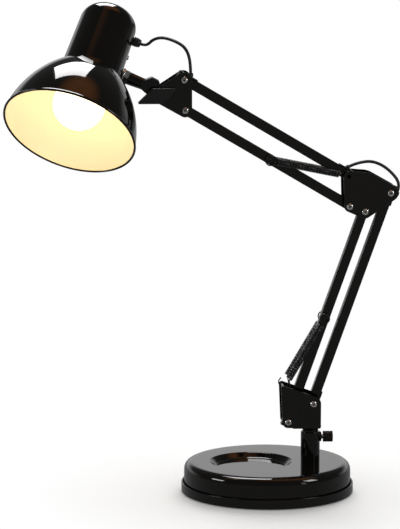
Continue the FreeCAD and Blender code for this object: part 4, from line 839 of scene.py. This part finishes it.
wing_reach, wing_drop, wing_shoulder, wing_round = 0.0186, 0.0068, 0.0046, 0.0013
wing_thick, wing_hub, wing_gap = 0.007, 0.0066, 0.0008
wing_back = -plate_outer - wing_gap
wing_front = wing_back - wing_thick
blade = plate([
    (pivot_t.x + wing_shoulder, pivot_t.z - wing_drop, wing_round),
    (pivot_t.x + wing_reach, pivot_t.z + wing_drop, wing_round),
    (pivot_t.x - wing_shoulder, pivot_t.z + wing_drop, wing_round),
    (pivot_t.x - wing_reach, pivot_t.z - wing_drop, wing_round),
], wing_thick, wing_back, 0.0)
hub = rod(wing_hub, 0, wing_thick + wing_gap)
wing = weld(blade, moved(hub, Matrix.Translation(pivot_t) @ at(0, -plate_outer, 0) @ outward_near))
piece("wing_knob", soften(flattened(wing), 0.0006, 3), "wing", "black_plastic", moulded)
tilt_start, tilt_end = wing_front + wing_round, plate_outer + nut_height + bolt_tail
tilt_bolt = rod(tilt_radius, tilt_start, tilt_end, 32, 0.0, 0.0005)
piece("wing_bolt", laid(tilt_bolt, pivot_t), "wing", "zinc_steel", zinc)


# Stem. A turned steel stub with a flat-sided knuckle that tilts between the head plates. Its
# threaded end passes through the neck, where a lock nut and a washer outside and a nut inside let
# the head turn on it.

stem_slope = 21.9
stem_length, lobe = 0.0604, 0.0068
stem_root, stem_tip, thread_radius = 0.0069, 0.0062, 0.004
neck_seat, washer_radius, washer_thick = 0.03166, 0.0085, 0.002
knuckle_half, knuckle_hub, corner = 0.009, 0.0055, 0.002
stem_place = Matrix.Translation(head_middle) @ turn(stem_slope + 90, "Y")
lobe_spot = stem_place @ Vector((0, 0, stem_length))
locknut_across, locknut_height = 0.0145, 0.005
locknut_foot = neck_seat + washer_thick
stem_foot = locknut_foot + locknut_height
stem_end = stem_length - lobe
thread_start = 0.0242

stem = turned([
    (0, thread_start), (thread_radius, thread_start, 0.0005), (thread_radius, stem_foot),
    (stem_root, stem_foot, 0.0006), (stem_tip, stem_end), (0, stem_end),
], 56)
enamelled("head_stem", moved(stem, stem_place), "stem")
washer = turned([
    (thread_radius + loose_gap, neck_seat), (washer_radius, neck_seat, 0.0005),
    (washer_radius, locknut_foot, 0.0005), (thread_radius + loose_gap, locknut_foot),
], 56, closed=True)
piece("stem_washer", moved(washer, stem_place), "stem", "bright_steel", bright)
locknut = hex_nut(locknut_across, thread_radius + run_gap, locknut_height)
locknut = moved(locknut, stem_place @ at(0, 0, locknut_foot))
piece("stem_locknut", locknut, "stem", "bright_steel", bright)
stem_nut = hex_nut(washer_radius * 1.5, thread_radius + run_gap, 0.0038)
piece("stem_nut", moved(stem_nut, stem_place @ at(0, 0, thread_start + 0.0006)), "stem", "zinc_steel", zinc)

knuckle_plate = plate([
    (pivot_t.x, pivot_t.z, knuckle_hub), (pivot_t.x + corner / 2, pivot_t.z + lobe * 2, corner),
    (pivot_t.x - lobe + corner, pivot_t.z + lobe * 2 + corner * 1.5, corner),
    (lobe_spot.x, lobe_spot.z, lobe),
], knuckle_half * 2, knuckle_half, 0.0)
hub_half = plate_inner - loose_gap
knuckle_boss = laid(rod(knuckle_hub, -hub_half, hub_half), pivot_t)
socket = moved(rod(stem_tip, stem_end, stem_length, 56), stem_place)
knuckle = weld(knuckle_plate, knuckle_boss, socket)
enamelled("stem_knuckle", soften(flattened(knuckle), 0.0008, 3, 40.0), "stem")


# Head. A spun steel neck with a domed top and a bell shade with a rolled rim, gloss black outside
# and cream inside, round a plastic lampholder and a frosted globe lamp. It is lit.

head_turn = -36.7
head_place = Matrix.Translation(head_middle) @ turn(stem_slope, "Y") @ turn(head_turn, "X")
neck_base, neck_base_radius, neck_shoulder, neck_shoulder_radius = -0.0145, 0.0318, 0.0517, 0.0304
neck_wall, dome_height, dome_corner = 0.0012, 0.022, 0.017
rim, rim_radius, bead = -0.0889, 0.0718, 0.0013
seat, step, shade_wall, shade_bow = 0.0346, 0.0018, 0.001, 0.125
holder_radius, holder_bore, holder_mouth, holder_flange = 0.0195, 0.0137, 0.0175, 0.0245
holder_flange_thick, holder_top, holder_skirt = 0.002, 0.030, 0.0065
ring_radius, ring_height = 0.025, 0.005
bulb_middle, bulb_radius, bulb_neck, bulb_foot = -0.0524, 0.0275, 0.0126, -0.009


def dome(radius, height, corner_radius, shoulder):
    """A domed outline up from the shoulder: a small round that runs into a wide crown."""
    inset = radius - corner_radius
    crown = (inset ** 2 + height ** 2 - corner_radius ** 2) / (height - corner_radius) / 2
    drop = crown - height
    reach = math.hypot(inset, drop)
    touch = (inset / reach * crown, shoulder - drop + drop / reach * crown)
    corner_round = bow((radius, shoulder), touch, corner_radius, 12)
    return corner_round + bow(touch, (0, shoulder + height), crown, 12)[1:]


neck_outside = [(neck_base_radius, neck_base, 0.0004)]
neck_outside += dome(neck_shoulder_radius, dome_height, dome_corner, neck_shoulder)
neck_inside = dome(
    neck_shoulder_radius - neck_wall, dome_height - neck_wall, dome_corner - neck_wall, neck_shoulder,
)
neck = turned(neck_outside + neck_inside[::-1] + [(neck_base_radius - neck_wall, neck_base)], 96, closed=True)
bmesh.ops.delete(neck, geom=[edge for edge in neck.edges if not edge.link_faces], context="EDGES")
enamelled("neck_cap", moved(neck, head_place), "head")

skirt, shade_hole = rim_radius - bead, holder_radius + loose_gap
bead_arc = [
    (skirt + bead * math.cos(math.radians(degrees)), rim + bead + bead * math.sin(math.radians(degrees)))
    for degrees in range(60, -181, -20)
]
brow = (seat + step, neck_base - step)
shade_outside = [(shade_hole, neck_base), (seat, neck_base, 0.0006), (*brow, 0.0006)]
shade_outside += bow(brow, (skirt + shade_wall / 2, rim + bead), -shade_bow, 40)[1:-1]
shade_inside = bow(
    (seat + step - shade_wall, neck_base - step - shade_wall), (skirt - shade_wall / 2, rim + bead),
    -(shade_bow - shade_wall), 40,
)[::-1][1:]
shade_inside += [(seat - shade_wall, neck_base - shade_wall), (shade_hole, neck_base - shade_wall)]
shade = turned(shade_outside + bead_arc + shade_inside, round_steps, closed=True)
cream = surface("cream_enamel", (0.92, 0.83, 0.58), 0.32, grain=300.0, mottle=0.02, relief=0.01)
for face in shade.faces:
    middle = face.calc_center_median()
    inward = face.normal.dot(Vector((middle.x, middle.y, 0)).normalized()) < -0.05
    under = face.normal.z < -0.9 and middle.z > neck_base - step - shade_wall * 2
    if middle.z > rim + bead and (inward or under):
        face.material_index = 1
piece("shade", moved(shade, head_place), "head", "black_enamel", enamel, cream)

flange_top = neck_base + holder_flange_thick
holder = turned([
    (holder_radius, holder_top, 0.0012), (holder_radius, flange_top),
    (holder_flange, flange_top, 0.0004), (holder_flange, neck_base, 0.0002),
    (holder_radius, neck_base), (holder_radius, neck_base - holder_skirt, 0.0005),
    (holder_mouth, neck_base - holder_skirt, 0.0005), (holder_bore, bulb_foot),
    (holder_bore, holder_top - holder_flange_thick), (0, holder_top - holder_flange_thick),
], 64)
piece("lampholder", moved(holder, head_place), "head", "black_plastic", moulded)
ring_top = neck_base - shade_wall
shade_ring = turned([
    (holder_radius + run_gap, ring_top - ring_height), (ring_radius, ring_top - ring_height, 0.0008),
    (ring_radius, ring_top), (holder_radius + run_gap, ring_top),
], 64, closed=True)
piece("shade_ring", moved(shade_ring, head_place), "head", "black_plastic", moulded)

waist_rise = bulb_radius * 2 / 3
waist_radius = math.sqrt(bulb_radius ** 2 - waist_rise ** 2)
bulb_outside = bow((0, bulb_middle - bulb_radius), (bulb_radius, bulb_middle), bulb_radius, 20)
bulb_outside += bow((bulb_radius, bulb_middle), (waist_radius, bulb_middle + waist_rise), bulb_radius, 10)[1:]
bulb_end = bulb_foot + 0.002
bulb = turned([*bulb_outside, (bulb_neck, bulb_foot, 0.003), (bulb_neck, bulb_end), (0, bulb_end)], 64)
frosted = surface("lamp_glass", (0.95, 0.93, 0.88), 0.45, grain=700.0, mottle=0.01, relief=0.02)
glow = frosted.node_tree.nodes["Principled BSDF"]
glow.inputs["Emission Color"].default_value = (1.0, 0.735, 0.46, 1.0)
glow.inputs["Emission Strength"].default_value = 2.25
piece("bulb_glass", moved(bulb, head_place), "head", "lamp_glass", frosted)
brass = surface("lamp_cap", (0.72, 0.70, 0.66), 0.3, metallic=1.0, grain=1500.0, relief=0.1)
repaint(brass, "bulb_cap")

screw_height, gland_height = 0.0235, 0.046
screw_seat, gland_start = 0.0310, 0.0309
screw_core, screw_rim, screw_crown, screw_reach, screw_rise = 0.0015, 0.0028, 0.00205, 0.0048, 0.0015
neck_screw = turned([
    (0, screw_seat - screw_reach), (screw_core, screw_seat - screw_reach), (screw_core, screw_seat),
    (screw_rim, screw_seat, 0.0003), (screw_crown, screw_seat + screw_rise, 0.0005),
    (0, screw_seat + screw_rise),
], 32)
neck_screw = moved(neck_screw, head_place @ at(0, 0, screw_height) @ along_x)
piece("neck_screw", neck_screw, "head", "zinc_steel", zinc)
gland_radius, gland_bore, gland_seat, gland_length, gland_sink = 0.005, 0.0018, 0.0038, 0.0085, 0.0036
gland = turned([
    (gland_bore, gland_start - gland_sink), (gland_seat, gland_start - gland_sink), (gland_seat, gland_start),
    (gland_radius, gland_start, 0.0004), (gland_radius, gland_start + gland_length - gland_seat, 0.0012),
    (gland_seat, gland_start + gland_length, 0.0006), (gland_bore, gland_start + gland_length, 0.0003),
], 48, closed=True)
gland = moved(gland, head_place @ at(0, 0, gland_height) @ along_x)
piece("cable_gland", gland, "head", "black_plastic", moulded)


# Studio. A white table keeps the lamp's soft shadow and is plain white further out. Paint and metal
# mirror a light band at the back, a warm patch overhead and a few soft boxes in a dark room. One
# wide window behind the lamp lights matt things alone.

world = bpy.data.worlds.new("studio")
scene.world = world
world.use_nodes = True
nodes, link = world.node_tree.nodes, world.node_tree.links.new
room = nodes["Background"]
room.inputs["Color"].default_value = (1, 1, 1, 1)


def directions(kind):
    """A vector of the surface's or the world's coordinates, and its three parts."""
    vector = nodes.new("ShaderNodeTexCoord").outputs[kind]
    split = nodes.new("ShaderNodeSeparateXYZ")
    link(vector, split.inputs["Vector"])
    return vector, split


def ramp(value, low, high, low_value, high_value):
    made = nodes.new("ShaderNodeMapRange")
    made.interpolation_type = "SMOOTHSTEP"
    names = ("From Min", "From Max", "To Min", "To Max")
    for name, amount in zip(names, (low, high, low_value, high_value)):
        made.inputs[name].default_value = amount
    link(value, made.inputs["Value"])
    return made.outputs["Result"]


def math_of(operation, first, second):
    made = nodes.new("ShaderNodeMath")
    made.operation = operation
    for socket, value in zip(made.inputs, (first, second)):
        if isinstance(value, float):
            socket.default_value = value
        else:
            link(value, socket)
    return made.outputs["Value"]


room_dark, horizon_light, world_light = 0.10, 0.80, 0.62
way, split = directions("Generated")
behind = ramp(split.outputs["Y"], 0.30, 0.75, 0.0, 1.0)
low_down = ramp(split.outputs["Z"], 0.22, 0.42, 1.0, 0.0)
off_table = ramp(split.outputs["Z"], 0.05, 0.12, 0.12, 1.0)
band = math_of("MULTIPLY", math_of("MULTIPLY", behind, low_down), off_table)
mirrored = math_of("ADD", math_of("MULTIPLY", band, horizon_light), room_dark)
path = nodes.new("ShaderNodeLightPath")
plain = math_of("ADD", math_of("MULTIPLY", path.outputs["Is Camera Ray"], 1.0 - world_light), world_light)
chosen = nodes.new("ShaderNodeMix")
link(path.outputs["Is Glossy Ray"], chosen.inputs["Factor"])
link(plain, chosen.inputs["A"])
link(mirrored, chosen.inputs["B"])
link(chosen.outputs["Result"], room.inputs["Strength"])
overhead = nodes.new("ShaderNodeVectorMath")
overhead.operation = "DOT_PRODUCT"
link(way, overhead.inputs[0])
overhead.inputs[1].default_value = (0.252, -0.05, 0.966)
not_in_front = ramp(split.outputs["Y"], -0.30, -0.08, 0.0, 1.0)
glow_level = math_of("MULTIPLY", ramp(overhead.outputs["Value"], 0.86, 0.99, 0.0, 1.3), not_in_front)
warm = nodes.new("ShaderNodeBackground")
warm.inputs["Color"].default_value = (0.80, 0.27, 0.05, 1)
link(math_of("MULTIPLY", glow_level, path.outputs["Is Glossy Ray"]), warm.inputs["Strength"])
both = nodes.new("ShaderNodeAddShader")
link(room.outputs["Background"], both.inputs[0])
link(warm.outputs["Background"], both.inputs[1])
link(both.outputs["Shader"], nodes["World Output"].inputs["Surface"])

floor_bm, floor_size = bmesh.new(), 8.0
bmesh.ops.create_grid(floor_bm, x_segments=1, y_segments=1, size=floor_size)
floor = bpy.data.objects.new("floor", to_mesh("floor", floor_bm))
scene.collection.objects.link(floor)
paper = bpy.data.materials.new("paper")
paper.use_nodes = True
nodes, link = paper.node_tree.nodes, paper.node_tree.links.new
nodes.remove(nodes["Principled BSDF"])
matt = nodes.new("ShaderNodeBsdfDiffuse")
matt.inputs["Color"].default_value = (0.80, 0.795, 0.785, 1)
lift = nodes.new("ShaderNodeEmission")
lift.inputs["Strength"].default_value = 0.08
whole = nodes.new("ShaderNodeAddShader")
link(matt.outputs["BSDF"], whole.inputs[0])
link(lift.outputs["Emission"], whole.inputs[1])
in_mirror = nodes.new("ShaderNodeEmission")
place, split = directions("Object")
link(ramp(split.outputs["Y"], -0.10, 0.60, 0.22, 0.50), in_mirror.inputs["Strength"])
path = nodes.new("ShaderNodeLightPath")
seen = nodes.new("ShaderNodeMixShader")
link(path.outputs["Is Glossy Ray"], seen.inputs["Fac"])
distance = nodes.new("ShaderNodeVectorMath")
distance.operation = "LENGTH"
link(place, distance.inputs[0])
far_white = nodes.new("ShaderNodeEmission")
paper_colour = nodes.new("ShaderNodeMixShader")
link(ramp(distance.outputs["Value"], 0.12, 0.27, 0.0, 1.0), paper_colour.inputs["Fac"])
link(whole.outputs["Shader"], paper_colour.inputs[1])
link(far_white.outputs["Emission"], paper_colour.inputs[2])
link(paper_colour.outputs["Shader"], seen.inputs[1])
link(in_mirror.outputs["Emission"], seen.inputs[2])
link(seen.outputs["Shader"], nodes["Material Output"].inputs["Surface"])
floor.data.materials.append(paper)


def soft_box(name, spot, target, width, height, radiance, for_mirrors=True):
    """A rectangular lamp at spot that faces target. It shows in mirrors alone or lights matt things alone."""
    data = bpy.data.lights.new(name, "AREA")
    data.shape = "RECTANGLE"
    data.size, data.size_y = width, height
    data.energy = radiance * math.pi * width * height
    box = bpy.data.objects.new(name, data)
    box.location = spot
    box.rotation_mode = "QUATERNION"
    box.rotation_quaternion = (Vector(spot) - Vector(target)).to_track_quat("Z", "Y")
    box.visible_diffuse = not for_mirrors
    box.visible_glossy = for_mirrors
    box.visible_camera = False
    scene.collection.objects.link(box)


shade_spot = Vector((-0.205, -0.075, 0.458))
soft_box("back_box", shade_spot + Vector((0.035, 0.58, 0.80)) * 0.9, shade_spot, 0.50, 0.44, 15.0)
base_left = Vector((-0.057, -0.067, 0.028))
soft_box("left_box", base_left + Vector((-0.88, -0.15, 0.42)) * 1.2, base_left, 0.40, 0.22, 14.0)
base_right = Vector((0.035, -0.081, 0.028))
soft_box("right_box", base_right + Vector((0.74, -0.32, 0.58)) * 1.2, base_right, 0.30, 0.40, 12.0)
soft_box("right_strip", base_right + Vector((0.72, -0.66, 0.12)) * 1.4, base_right, 0.16, 0.9, 1.6)
soft_box("window", Vector((0.25, 1.70, 1.35)), (0, 0, 0), 1.6, 1.6, 5.2, for_mirrors=False)

scene.view_settings.view_transform = "Standard"
